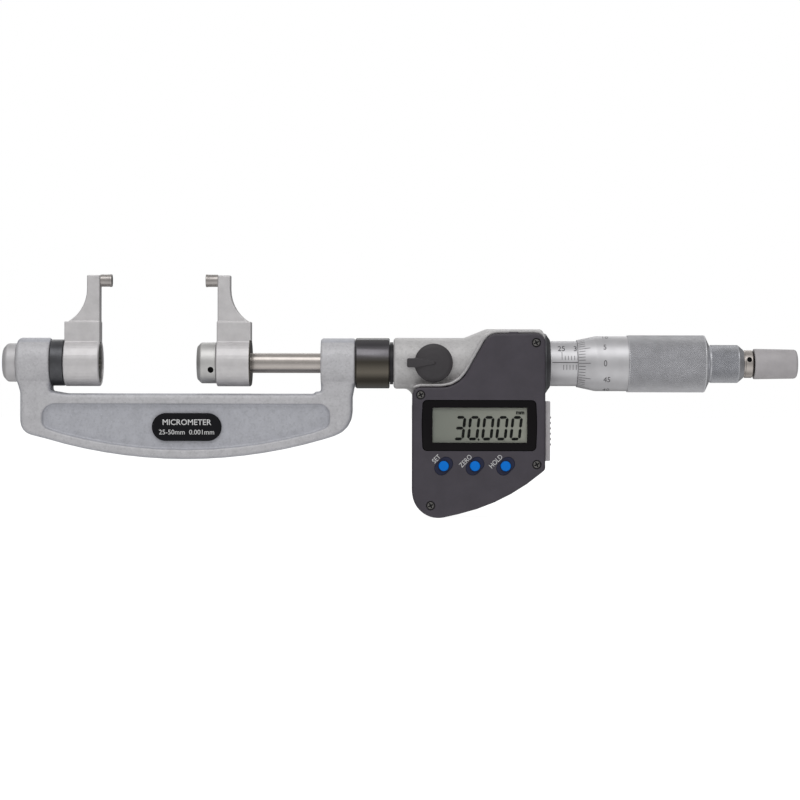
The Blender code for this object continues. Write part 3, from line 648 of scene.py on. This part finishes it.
def mark(bm, x_span, angle_span, radius_of):
    """Adds a thin closed slab on a round surface, for one engraved and inked line."""
    left, right = x_span
    arc_length = abs(angle_span[1] - angle_span[0]) * radius_of(left)
    count = max(1, ceil(arc_length / 0.3))
    layers = []
    for k in range(count + 1):
        turn = angle_span[0] + (angle_span[1] - angle_span[0]) * k / count
        corners = []
        for x, rise in ((left, MARK_LIFT), (right, MARK_LIFT), (right, -MARK_SINK), (left, -MARK_SINK)):
            radius = radius_of(x) + rise
            corners.append(bm.verts.new((x, -radius * cos(turn), radius * sin(turn))))
        layers.append(corners)
    for first, second in zip(layers, layers[1:]):
        for i in range(4):
            bm.faces.new((first[i], first[(i + 1) % 4], second[(i + 1) % 4], second[i]))
    bm.faces.new(layers[0])
    bm.faces.new(reversed(layers[-1]))


def merge(target, extra):
    """Adds one bmesh to another."""
    mesh = bpy.data.meshes.new("extra")
    extra.to_mesh(mesh)
    extra.free()
    target.from_mesh(mesh)
    bpy.data.meshes.remove(mesh)


# ---- frame and jaws


def build_frame():
    soften("cast_frame", "frame", FRAME_PAINT, 0.36, 4)
    low, high = extent("frame_label")
    centre = ((low.x + high.x) / 2, 0.0, (low.z + high.z) / 2)
    radius = (high.z - low.z) / 2
    straight = (high.x - low.x) / 2 - radius
    stadium = arc(straight, 0, radius, -90, 90, 32) + arc(-straight, 0, radius, 90, 270, 32)
    put(plate("range_label", stadium, low.y, high.y, LABEL_BLACK_AND_SHADE, centre, edge=0.15), "frame_label")

    lines = bmesh.new()
    printed = (("MICROMETER", 1.75, 1.55, 0.012), ("25-50mm  0.001mm", 1.5, -1.6, 0.004))
    for words, height, z, weight in printed:
        text = text_mesh(words, height, 0.05, weight)
        bmesh.ops.translate(text, vec=(0.0, 0.0, z), verts=text.verts)
        merge(lines, text)
    bmesh.ops.translate(lines, vec=(0.0, low.y - 0.01, 0.0), verts=lines.verts)
    attach(to_object("range_label_print", lines, PALE_INK, centre), "frame")


def build_anvil():
    start, end, r = round_extent("anvil_cap")
    cap = [(start, 0, 0), (start, r - 1.5, 1.2), (start + 1.4, r, 1.2), (end, r, 0.15), (end, 0, 0)]
    put(turned("anvil_cap_turned", cap, CAP_GREY), "anvil_cap")

    start, end, r = round_extent("anvil_collar")
    bore = 4.1
    collar = [(start, bore, 0), (start, r, 0.25), (end, r, 0.25), (end, bore, 0)]
    put(turned("anvil_collar_turned", collar, BLACK_OXIDE), "anvil_collar")

    face, r = round_extent("fixed_jaw_screw")[1:]
    socket_r = 2.0
    screw = [(face - 0.7, 0, 0), (face - 0.7, r, 0), (face, r, 0.2), (face, socket_r, 0.1)]
    screw += [(face - 0.35, socket_r, 0), (face - 0.35, 0, 0)]
    put(turned("fixed_jaw_screw_turned", screw, BLUED_STEEL_AND_SHADE), "fixed_jaw_screw")


def build_jaws():
    for side in ("fixed", "moving"):
        body = soften(f"{side}_jaw_body", f"{side}_jaw", JAW_FINISH, 0.17, 3)
        if side == "moving":
            # painted shade on the moving hub's end
            blacken_end(body, extent("moving_jaw")[1].x - 0.6, 7.2)
        start, end, r = round_extent(f"{side}_tip")
        face, root = (end, start) if side == "fixed" else (start, end)
        outward = 1 if face > root else -1
        land = face - 0.55 * outward  # the full radius starts here
        shank_r = r - 0.08
        pin = [(root, 0, 0), (root, shank_r, 0), (land - 0.2 * outward, shank_r, 0), (land, r, 0)]
        pin += [(face, r, 0.18), (face, 0, 0)]
        tip = turned(f"{side}_tip_ground", pin, CARBIDE_GROUND, sides=64, place=(0, 0, JAW_REACH))
        put(tip, f"{side}_tip")

    start, end, r = round_extent("jaw_cap")
    section = [(start, 0, 0), (start, r - 1.3, 0.5), (start + 1.3, r, 0.9), (end, r, 0.2), (end, 0, 0)]
    cap = turned("jaw_cap_turned", section, CAP_PLATE)
    drill(cap, (end - 1.5, -2.3), 0.95, -9.0, "jaw_cap")

    start, end = round_extent("spindle")[:2]
    r = 3.175
    neck_r = 2.5
    flange = end - 0.9
    shoulder = extent("moving_jaw")[0].x
    rod = [(start, 0, 0), (start, neck_r, 0.2), (shoulder, neck_r, 0), (shoulder, r, 0.1), (flange, r, 0)]
    rod += [(flange, 3.8, 0.1), (end, 3.8, 0.1), (end, 0, 0)]
    put(turned("spindle_ground", rod, GROUND_STEEL), "spindle")


# ---- head, clamp and sleeves


def build_head():
    soften("cast_head", "head_body", HEAD_PAINT, 0.33, 5)

    start, end, r = round_extent("ring_nut")
    bore = 6.1
    nut = [(start, bore, 0), (start, r - 0.45, 0.1), (start + 0.5, r, 0.15)]
    nut += [(end - 0.3, r, 0.15), (end, r - 0.3, 0.1), (end, bore, 0)]
    put(turned("ring_nut_turned", nut, REFLECTION_BANDED_STEEL), "ring_nut")

    start, end, r = round_extent("end_ring")
    bore = 7.3
    ring = [(start, bore, 0), (start, r, 0.2), (start + 0.6, r, 0.4), (end, r - 2.0, 0.3), (end, bore, 0.1)]
    put(turned("end_ring_turned", ring, BLACK_OXIDE), "end_ring")


def build_clamp():
    soften("clamp_lever_moulded", "clamp_lever", LEVER_BLACK, 0.11, 11)


def sleeve_surface(_):
    """The sleeve has one radius all along."""
    return SLEEVE_R


def sleeve_mark(bm, start, end, bottom, top):
    """A line on the sleeve between two places along it and two heights, measured round it."""
    mark(bm, (start, end), (bottom / SLEEVE_R, top / SLEEVE_R), sleeve_surface)


def build_sleeve():
    start, end = round_extent("outer_sleeve")[:2]
    bore = 6.4
    section = [(start, bore, 0), (start, SLEEVE_R, 0.1), (end, SLEEVE_R, 0.2), (end, bore, 0)]
    put(turned("outer_sleeve_turned", section, SATIN_CHROME, sides=128), "outer_sleeve")

    scale_start = extent("thimble")[0].x - (READING - SLEEVE_ZERO)
    travel = 25  # millimetres that the scale covers
    half_line = INK_WIDTH / 2
    datum = 0.25  # height of the datum line above the middle
    half_datum = 0.13
    bm = bmesh.new()
    sleeve_mark(bm, start + 0.9, end - 0.4, datum - half_datum, datum + half_datum)
    for k in range(travel + 1):
        x = scale_start + k
        long_line = k % 5 == 0
        sleeve_mark(bm, x - half_line, x + half_line, datum + 0.85, datum + (3.6 if long_line else 2.15))
        if k < travel:
            x += PITCH
            sleeve_mark(bm, x - half_line, x + half_line, datum - 2.35, datum - 0.75)
        if long_line:
            number = text_mesh(str(round(SLEEVE_ZERO) + k), 2.1, 0.05, narrow=0.82)
            merge(bm, wrap(number, scale_start + k - 0.1, (datum + 4.9) / SLEEVE_R, sleeve_surface))
    attach(to_object("sleeve_scale", bm, SCALE_INK), "frame")


# ---- thimble and ratchet


def knurled_rings(start, end, radius, sides, depth):
    """Rings of points for a diamond knurl: pyramids on a chequered grid, sides / 2 of them round the grip."""
    count = round((end - start) / (KNURL_PITCH / 2))
    rings = []
    for k in range(count + 1):
        x = start + (end - start) * k / count
        ring = []
        for i in range(sides):
            peak = (i + k) % 2 == 0 and k > 0
            r = radius if peak else radius - depth
            if k == count:
                r = radius - depth / 2
            angle = 2 * pi * i / sides
            ring.append((x, r * cos(angle), r * sin(angle)))
        rings.append(ring)
    return rings


def plain_ring(x, radius, sides):
    angles = [2 * pi * i / sides for i in range(sides)]
    return [(x, radius * cos(angle), radius * sin(angle)) for angle in angles]


def knurled_piece(name, before, grip, after, sides, depth, material):
    """A turned piece with a knurled grip: before and after are (x, r, rounding) corners beside it."""
    start, end, radius = grip
    bm = bmesh.new()
    knurl = knurled_rings(start, end, radius, sides, depth)
    lead = (start, radius - depth, 0.0)
    tail = (end, radius - depth / 2, 0.0)
    outline = rounded([*before, lead, tail, *after], step=22.5)
    lead_index = outline.index(tuple(Vector(lead[:2])))
    rings = [plain_ring(x, r, sides) for x, r in outline[:lead_index]]
    knurl_from = len(rings)
    rings += knurl
    knurl_to = len(rings)
    rings += [plain_ring(x, r, sides) for x, r in outline[lead_index + 2 :]]
    made = [[bm.verts.new(point) for point in ring] for ring in rings]
    for k, (first, second) in enumerate(zip(made, made[1:] + made[:1])):
        in_knurl = knurl_from <= k < knurl_to - 1
        row = k - knurl_from
        for i in range(sides):
            j = (i + 1) % sides
            a, b, c, d = first[i], first[j], second[j], second[i]
            if not in_knurl:
                bm.faces.new((a, b, c, d))
            elif (i + row) % 2 == 0:  # a and c are peaks, so the ridge between valleys runs from b to d
                bm.faces.new((a, b, d))
                bm.faces.new((b, c, d))
            else:
                bm.faces.new((a, b, c))
                bm.faces.new((a, c, d))
    return to_object(name, bm, material, sharp=25.0)


def thimble_surface(x):
    """The thimble's radius at a place on its cone or on the plain stretch after it."""
    share = min(1.0, (x - THIMBLE_EDGE) / CONE_LENGTH)
    return CONE_R + (PLAIN_R - CONE_R) * share


def build_thimble():
    start, end = round_extent("thimble")[:2]
    bore = 7.33
    end_bore = 3.08
    end_wall = 3.8
    grip_start = 164.85
    depth = 0.26
    before = [(end, end_bore, 0), (end - end_wall, end_bore, 0), (end - end_wall, bore, 0)]
    before += [(start, bore, 0), (start, CONE_R, 0.03), (start + CONE_LENGTH, PLAIN_R, 4.0)]
    before += [(grip_start - 0.15, PLAIN_R, 0.05), (grip_start - 0.05, THIMBLE_R - 0.1, 0.0)]
    after = [(end - 1.3, THIMBLE_R - depth / 2 - 0.05, 0), (end, THIMBLE_R - 2.9, 0)]
    grip = (grip_start, end - 1.35, THIMBLE_R)
    obj = knurled_piece("thimble_knurled", before, grip, after, 156, depth, SATIN_CHROME)
    knurled = [p for p in obj.data.polygons if p.center.x > (grip_start - 0.1) * MM]
    finish_faces(obj, knurled, KNURL_CHROME)
    put(obj, "thimble")

    bm = bmesh.new()
    divisions = 50
    nearly_round = 1.999 * pi  # the edge line's two ends mustn't share a place
    spread = INK_WIDTH / 2 / CONE_R
    mark(bm, (start + 0.03, start + 0.16), (0.0, nearly_round), thimble_surface)
    for k in range(divisions):
        angle = 2 * pi * k / divisions
        length = 4.0 if k % 5 == 0 else 2.4
        mark(bm, (start + 0.35, start + length), (angle - spread, angle + spread), thimble_surface)
    for k in range(0, divisions, 5):
        number = text_mesh(str(k), 1.95, 0.05, narrow=0.82)
        left = min(v.co.x for v in number.verts)
        bmesh.ops.translate(number, vec=(-0.62 - left, 0.0, 0.0), verts=number.verts)
        merge(bm, wrap(number, start + 8.75, 2 * pi * k / divisions, thimble_surface))
    attach(to_object("thimble_scale", bm, SCALE_INK), "thimble")


def build_ratchet():
    start, end, r = round_extent("speeder")
    bore = 2.5
    depth = 0.25
    before = [(end, bore, 0), (start, bore, 0), (start, r - depth, 0)]
    after = [(end - 1.65, r - depth / 2 - 0.05, 0), (end, r - 1.6, 0)]
    grip = (start + 0.3, end - 1.7, r)
    put(knurled_piece("speeder_knurled", before, grip, after, 104, depth, SPEEDER_CHROME), "speeder")

    start, end, r = round_extent("ratchet_nut")
    section = [(start, 0, 0), (start, r - 0.15, 0), (start + 0.35, r - 0.15, 0), (start + 0.5, r, 0.1)]
    section += [(end - 0.3, r, 0.2), (end, r - 0.3, 0.1), (end, 0, 0)]
    drill(turned("ratchet_nut_turned", section, GROUND_STEEL), (203.5, 1.35), 0.82, -7.0, "ratchet_nut")

    start, end, r = round_extent("ratchet_knob")
    hollow_end = start + 7.6
    hollow_r = 3.9
    knob = [(hollow_end, 0, 0), (hollow_end, hollow_r, 0), (start, hollow_r, 0), (start, r, 0.3)]
    knob += [(end - 0.35, r - 0.25, 1.0), (end, r - 2.6, 3.0), (end, 0, 0)]
    put(turned("ratchet_knob_turned", knob, KNOB_FINISH), "ratchet_knob")


# ---- display unit


def cover_corners():
    """The display unit's outline as (x, z, corner radius)."""
    left, right = 96.05, 138.0
    lower = [(left, -7.75, 2.6), (left, -51.0, 8.3), (125.4, -44.35, 61.0), (right, -33.6, 1.5)]
    return lower + [(right, 9.4, 3.2), (120.2, 9.2, 4.6), (110.7, -7.75, 9.5)]


def rear_corners():
    """The rear cover shares the front one's lower corners, and stops below the encoder housing."""
    top = extent("rear_cover")[1].z
    lower = cover_corners()[1:4]
    return [(lower[0][0], top, 2.0), *lower, (lower[-1][0], top, 2.0)]


def window_corners():
    top, middle, bottom = -11.7, -19.75, -27.8
    left = [(99.3, top, 1.5), (98.95, middle, 60.0), (99.3, bottom, 1.5)]
    return left + [(135.1, bottom, 1.5), (135.45, middle, 60.0), (135.1, top, 1.5)]


def head_clearance(gap):
    """A guide shaped like the head, larger all round by the gap."""
    barrel_r = 8.15 + gap
    housing_r = 11 + gap
    section = [(88, 0, 0), (88, barrel_r, 0), (112.5, barrel_r, 0)]
    section += [(119.5, housing_r, 0), (141, housing_r, 0), (141, 0, 0)]
    return turned("head_clearance", section, None)


def tilted_stadium(reach, radius):
    """A stadium outline that leans 45 degrees, from lower left to upper right."""
    ends = arc(reach, 0, radius, -90, 90, 20) + arc(-reach, 0, radius, 90, 270, 20)
    return [((x - z) / sqrt(2), (x + z) / sqrt(2)) for x, z in ends]


def node_centre(name):
    """The middle of a CAD node as (x, z)."""
    low, high = extent(name)
    return ((low.x + high.x) / 2, (low.z + high.z) / 2)


def build_front_cover():
    low, high = extent("front_cover")
    front, back = low.y, high.y
    screws = [node_centre(f"cover_screw_{i}") for i in range(1, 5)]
    buttons = [node_centre(f"{name}_button") for name in ("set", "zero", "hold")]
    cover = plate("front_cover_moulded", rounded(cover_corners()), front, back, COVER_GREY, edge=0.75)
    cut(cover, rounded(cover_corners(), inset=WALL), front + WALL, back + 2)
    ridge = rounded([(125.9, 8.6, 0), (129.9, 8.6, 0), (129.3, 9.8, 0.4), (126.5, 9.8, 0.4)])
    combine(cover, plate("ridge", ridge, front + 0.3, back - 0.3, None, edge=0.2), "UNION")
    combine(cover, head_clearance(0.12))
    cut(cover, rounded(window_corners()), front - 2, front + WALL + 1)
    combine(cover, pins("recesses", screws, 1.5, front - 2, front + 0.9))
    for x, z in buttons:
        cut(cover, tilted_stadium(1.0, 2.25), front - 2, front + 0.45, (x, 0, z))
    combine(cover, pins("button_holes", buttons, 2.15, front - 2, front + WALL + 1))
    put(settle(cover), "front_cover")

    for name, (x, z) in zip(("set", "zero", "hold"), buttons):
        place = (x, 0, z)
        lip = (front + 0.16, front + 0.6)
        boot = plate(f"{name}_boot_moulded", tilted_stadium(1.0, 2.2), *lip, NAVY_RUBBER, place, edge=0.12)
        combine(boot, pins("hole", ((x, z),), 1.72, front - 2, front + 2))
        put(settle(boot), f"{name}_boot")
        r = 1.6
        face = extent(f"{name}_button")[0].y
        section = [(face, 0, 0), (face, r, 0.35), (front + WALL, r, 0), (front + WALL, 0, 0)]
        put(turned(f"{name}_button_moulded", section, BUTTON_BLUE, 64, "Y", place), f"{name}_button")

    print_y = front - 0.015
    for words, (x, z) in zip(("SET", "ZERO", "HOLD"), buttons):
        bm = text_mesh(words, 1.5, 0.03, narrow=0.85)
        reach = max(v.co.x for v in bm.verts)
        lean = Matrix.Rotation(-pi / 4, 4, "Y")
        shift = Matrix.Translation((-1.35, 0, 3.25)) @ lean @ Matrix.Translation((-reach, 0, 0))
        bmesh.ops.transform(bm, matrix=shift, verts=bm.verts)
        attach(to_object(f"{words.lower()}_print", bm, PALE_INK, (x, print_y, z)), "frame")


def screw_head(name, centre, y, outward, cad_node):
    """A small pan head with a cross recess whose floor is painted near-black as shade, facing along Y."""
    radius = 1.2
    depth = 0.55 * outward
    x, z = centre
    section = [(y, 0, 0), (y, radius, 0.3), (y - depth, radius, 0), (y - depth, 0, 0)]
    screw = turned(name, section, SCREW_GREY, 48, "Y", (x, 0, z))
    reach, width = 0.85, 0.22
    cross = []
    for k in range(4):
        quarter = Matrix.Rotation(k * pi / 2 + pi / 7, 2)
        cross += [tuple(quarter @ Vector(p)) for p in ((reach, -width), (reach, width), (width, width))]
    cut(screw, cross, y - 0.32 * outward, y + outward, (x, 0, z))
    put(settle(screw), cad_node)
    # painted shade on the cross recess's floor
    blacken_recess(screw, y - 0.05 * outward, outward)


def build_screws():
    for i in range(1, 5):
        name = f"cover_screw_{i}"
        screw_head(f"{name}_head", node_centre(name), extent(name)[0].y, -1, name)
    for i in range(1, 3):
        name = f"rear_screw_{i}"
        screw_head(f"{name}_head", node_centre(name), extent(name)[1].y, 1, name)


# The lit bars of each digit: top, upper left, upper right, middle, lower left, lower right, bottom
SEGMENTS = {
    "0": (1, 1, 1, 0, 1, 1, 1),
    "3": (1, 0, 1, 1, 0, 1, 1),
}


def digit_bars(width, height):
    """The ends of the seven bars in an upright frame, in the order of SEGMENTS."""
    bars = []
    for upper, lower in ((height, height / 2), (height / 2, 0.0)):
        bars.append(((0.0, upper), (width, upper)))
        bars += [((side, upper), (side, lower)) for side in (0.0, width)]
    return bars + [((0.0, 0.0), (width, 0.0))]


def add_bar(bm, start, end, bar, gap, slant, origin, y):
    """One pointed bar of a digit, as a thin closed slab."""
    a, b = Vector(start), Vector(end)
    run = (b - a).normalized()
    side = Vector((-run.y, run.x)) * bar / 2
    a, b = a + run * gap, b - run * gap
    tip = run * bar / 2
    outline = [a, a + tip + side, b - tip + side, b, b - tip - side, a + tip - side]
    front, back = [], []
    for p in outline:
        x = origin[0] + p.x + p.y * slant
        z = origin[1] + p.y
        front.append(bm.verts.new((x, y - 0.03, z)))
        back.append(bm.verts.new((x, y + 0.02, z)))
    bm.faces.new(front)
    bm.faces.new(reversed(back))
    for i in range(6):
        j = (i + 1) % 6
        bm.faces.new((front[i], front[j], back[j], back[i]))


def build_display():
    low, high = extent("lcd_bezel")
    front = low.y
    window_low, window_high = extent("lcd_window")
    outline = rounded(window_corners(), inset=0.1)
    bezel = plate("display_bezel", outline, front, high.y, GLOSS_BLACK, edge=0.15)
    opening = [(window_low.x, window_low.z, 0.3), (window_low.x, window_high.z, 0.3)]
    opening += [(window_high.x, window_high.z, 0.3), (window_high.x, window_low.z, 0.3)]
    cut(bezel, rounded(opening), front - 2, high.y + 2)
    put(settle(bezel), "lcd_bezel")

    panel_y = front + 0.75
    edges = rounded([(x, z, 0.2) for x, z, _ in opening], inset=-0.4)
    put(plate("display_panel", edges, panel_y, high.y + 1.5, DISPLAY), "lcd_module")

    bm = bmesh.new()
    height, width, bar = 6.8, 2.65, 0.9
    gap = 0.12
    pitch = 4.46
    slant = 0.11
    base_z = -23.98
    first_x = 109.3
    for k, digit in enumerate("30000"):
        bars = digit_bars(width, height)
        origin = (first_x + k * pitch, base_z)
        for lit, (start, end) in zip(SEGMENTS[digit], bars):
            if lit:
                add_bar(bm, start, end, bar, gap, slant, origin, panel_y)
    point_x = first_x + 2 * pitch - 1.25
    dot = 0.42
    add_bar(bm, (0, -0.2), (2 * dot, -0.2), 2 * dot, 0.0, 0.0, (point_x - dot, base_z), panel_y)
    unit = text_mesh("mm", 1.2, 0.05, 0.05)
    bmesh.ops.translate(unit, vec=(130.1, panel_y - 0.01, -15.75), verts=unit.verts)
    merge(bm, unit)
    attach(to_object("display_digits", bm, DIGIT_INK), "frame")


def build_port_cover():
    low, high = extent("port_cover")
    face = low.x + 1.5
    strip = [(low.x, low.z, 0), (face, low.z, 0.4), (face, high.z, 0.4), (low.x, high.z, 0)]
    port = plate("port_cover_moulded", rounded(strip), low.y, high.y, PORT_GREY, edge=0.2)
    ribs = 6
    pitch = 1.7
    root = low.x + 0.5
    middle = (low.z + high.z) / 2
    for k in range(ribs):
        z = middle + (k - (ribs - 1) / 2) * pitch
        rib = [(root, z - 0.5, 0), (high.x, z - 0.3, 0.2), (high.x, z + 0.3, 0.2), (root, z + 0.5, 0)]
        combine(port, plate("rib", rounded(rib), low.y + 1.0, high.y - 1.0, None, edge=0.15), "UNION")
    put(settle(port), "port_cover")


def build_rear():
    low, high = extent("rear_cover")
    front, back = low.y, high.y
    lid_low, lid_high = extent("battery_lid")
    lid_centre = node_centre("battery_lid")
    lid_r = (lid_high.x - lid_low.x) / 2
    screws = [node_centre(f"rear_screw_{i}") for i in (1, 2)]
    cover = plate("rear_cover_moulded", rounded(rear_corners()), front, back, COVER_GREY, edge=0.9)
    cut(cover, rounded(rear_corners(), inset=WALL), front - 2, back - WALL)
    combine(cover, pins("lid_hole", (lid_centre,), lid_r + 0.15, front + 2, back + 2, 96))
    combine(cover, pins("recesses", screws, 1.5, back - 0.9, back + 2))
    put(settle(cover), "rear_cover")

    x, z = lid_centre
    top = lid_high.y
    lid = [(top, 0, 0), (top, lid_r, 0.35), (lid_low.y, lid_r, 0), (lid_low.y, 0, 0)]
    lid = turned("battery_lid_moulded", lid, COVER_GREY, SIDES, "Y", (x, 0, z))
    slot = rounded([(-4.4, -0.8, 0.5), (-4.4, 0.8, 0.5), (4.4, 0.8, 0.5), (4.4, -0.8, 0.5)])
    cut(lid, slot, top - 0.7, top + 1, (x, 0, z))
    put(settle(lid), "battery_lid")

    low, high = extent("cover_gasket")
    outline = rounded(cover_corners(), inset=0.2)
    gasket = plate("cover_gasket_moulded", outline, low.y, high.y, GASKET_RUBBER)
    cut(gasket, rounded(cover_corners(), inset=WALL), low.y - 1, high.y + 1)
    combine(gasket, head_clearance(0.12))
    put(settle(gasket), "cover_gasket")


# ---- CAD nodes that stay


STEEL_PARTS = ("anvil_rod", "clamp_collet", "battery", "inner_sleeve", "thrust_ball", "micrometer_screw")
STEEL_PARTS += ("ratchet_spring",)
DARK_PARTS = ("spindle_key", "taper_nut", "coupling_nut", "ratchet_wheel", "ratchet_screw")
KEPT = (
    (GROUND_STEEL, STEEL_PARTS),
    (BLUED_STEEL_AND_SHADE, DARK_PARTS),
    (BRASS, ("guide_bush", "battery_contact", "encoder_rotor")),
    (BOARD_GREEN, ("circuit_board", "encoder_stator")),
    (NECK_BLACK, ("head_neck",)),
    (LENS, ("lcd_window",)),
    (GLOSS_BLACK, ("data_connector",)),
)


def finish_kept_nodes():
    """Gives each carried-over CAD node its material, and smooth round sides."""
    kept = [(NODES[name], material) for material, names in KEPT for name in names]
    for obj, material in kept:
        obj.data.materials.clear()
        obj.data.materials.append(material)
        obj.data.shade_smooth()
        weld = obj.modifiers.new("weld", "WELD")
        weld.merge_threshold = 1e-6
        split = obj.modifiers.new("split", "EDGE_SPLIT")
        split.split_angle = radians(32)


# ---- stage


def build_stage():
    low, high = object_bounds()
    half = 4000.0
    bm = bmesh.new()
    corners = ((-half, -half), (half, -half), (half, half), (-half, half))
    bm.faces.new([bm.verts.new((x, y, 0.0)) for x, y in corners])
    glow = {"Emission_Color": (1.0, 1.0, 1.0), "Emission_Strength": 0.95}
    material = new_material("floor", (0.25, 0.25, 0.25), 0.0, 0.9, **glow)[0]
    floor = to_object("floor", bm, material)
    floor.location = ((low.x + high.x) / 2, 0.0, low.z)
    floor.visible_diffuse = False
    floor.visible_glossy = False
    floor.visible_shadow = False


def build_world():
    """Soft bands of light, dimmer behind and beside the object, and a white backdrop for the camera."""
    world = bpy.data.worlds.new("studio")
    bpy.context.scene.world = world
    world.use_nodes = True
    tree = world.node_tree
    axes = split_axes(node(tree, "TexCoord").outputs["Generated"])
    elevations = ((-90, 0.42), (-65, 0.85), (-40, 1.05), (-18, 0.80), (0, 0.54), (15, 0.62))
    elevations += ((35, 0.80), (60, 0.98), (75, 0.65), (90, 0.40))
    stops = [((sin(radians(degrees)) + 1) / 2, (value,) * 3) for degrees, value in elevations]
    bands = ramp(level(axes["Z"], 0.0, 1.0, -1.0, 1.0), stops)
    behind = level(axes["Y"], 1.0, 0.15, 0.25, 0.95)
    beside = level(magnitude(axes["X"]), 1.0, 0.38, 0.3, 0.95)
    around = node(tree, "Math", operation="MULTIPLY", Value=behind)
    feed(around.inputs[1], beside)
    dimmed = mix_colour(tree, 1.0, bands, around.outputs[0], "MULTIPLY")
    seen_directly = node(tree, "LightPath").outputs["Is Camera Ray"]
    backdrop = mix_colour(tree, seen_directly, dimmed, (1.0, 1.0, 1.0))
    feed(tree.nodes["Background"].inputs["Color"], backdrop)


def area_light(name, place, aim, size, power):
    light = bpy.data.lights.new(name, "AREA")
    light.shape = "RECTANGLE"
    light.size, light.size_y = size
    light.energy = power
    obj = add_object(name, light)
    obj.location = place
    obj.rotation_euler = (Vector(aim) - Vector(place)).to_track_quat("-Z", "Y").to_euler()


def build_lights():
    middle = (0.09, 0.0, -0.03)
    area_light("key", (-0.15, -0.55, 0.75), middle, (0.7, 0.5), 1.5)
    area_light("fill", (0.3, -0.65, 0.55), middle, (0.6, 0.4), 0.45)
    area_light("back", (0.1, 0.8, 0.5), middle, (0.8, 0.4), 1.2)


def build_camera():
    distance = 0.75
    centre_x = 92.2 * MM
    below_axis = 11.75 * MM
    width_at_axis = 256.2 * MM
    camera = bpy.data.cameras.new("camera")
    camera.sensor_width = 36.0
    camera.lens = camera.sensor_width * distance / width_at_axis
    camera.clip_start = 0.01
    camera.clip_end = 50.0
    obj = add_object("camera", camera)
    obj.location = (centre_x, -distance, AXIS_Z - below_axis)
    lean = -0.0021
    obj.rotation_euler = (pi / 2, lean, 0.0)
    bpy.context.scene.camera = obj


bpy.context.scene.view_settings.view_transform = "Standard"
build_frame()
build_anvil()
build_jaws()
build_head()
build_clamp()
build_sleeve()
build_thimble()
build_ratchet()
build_front_cover()
build_screws()
build_display()
build_port_cover()
build_rear()
finish_kept_nodes()
build_stage()
build_world()
build_lights()
build_camera()
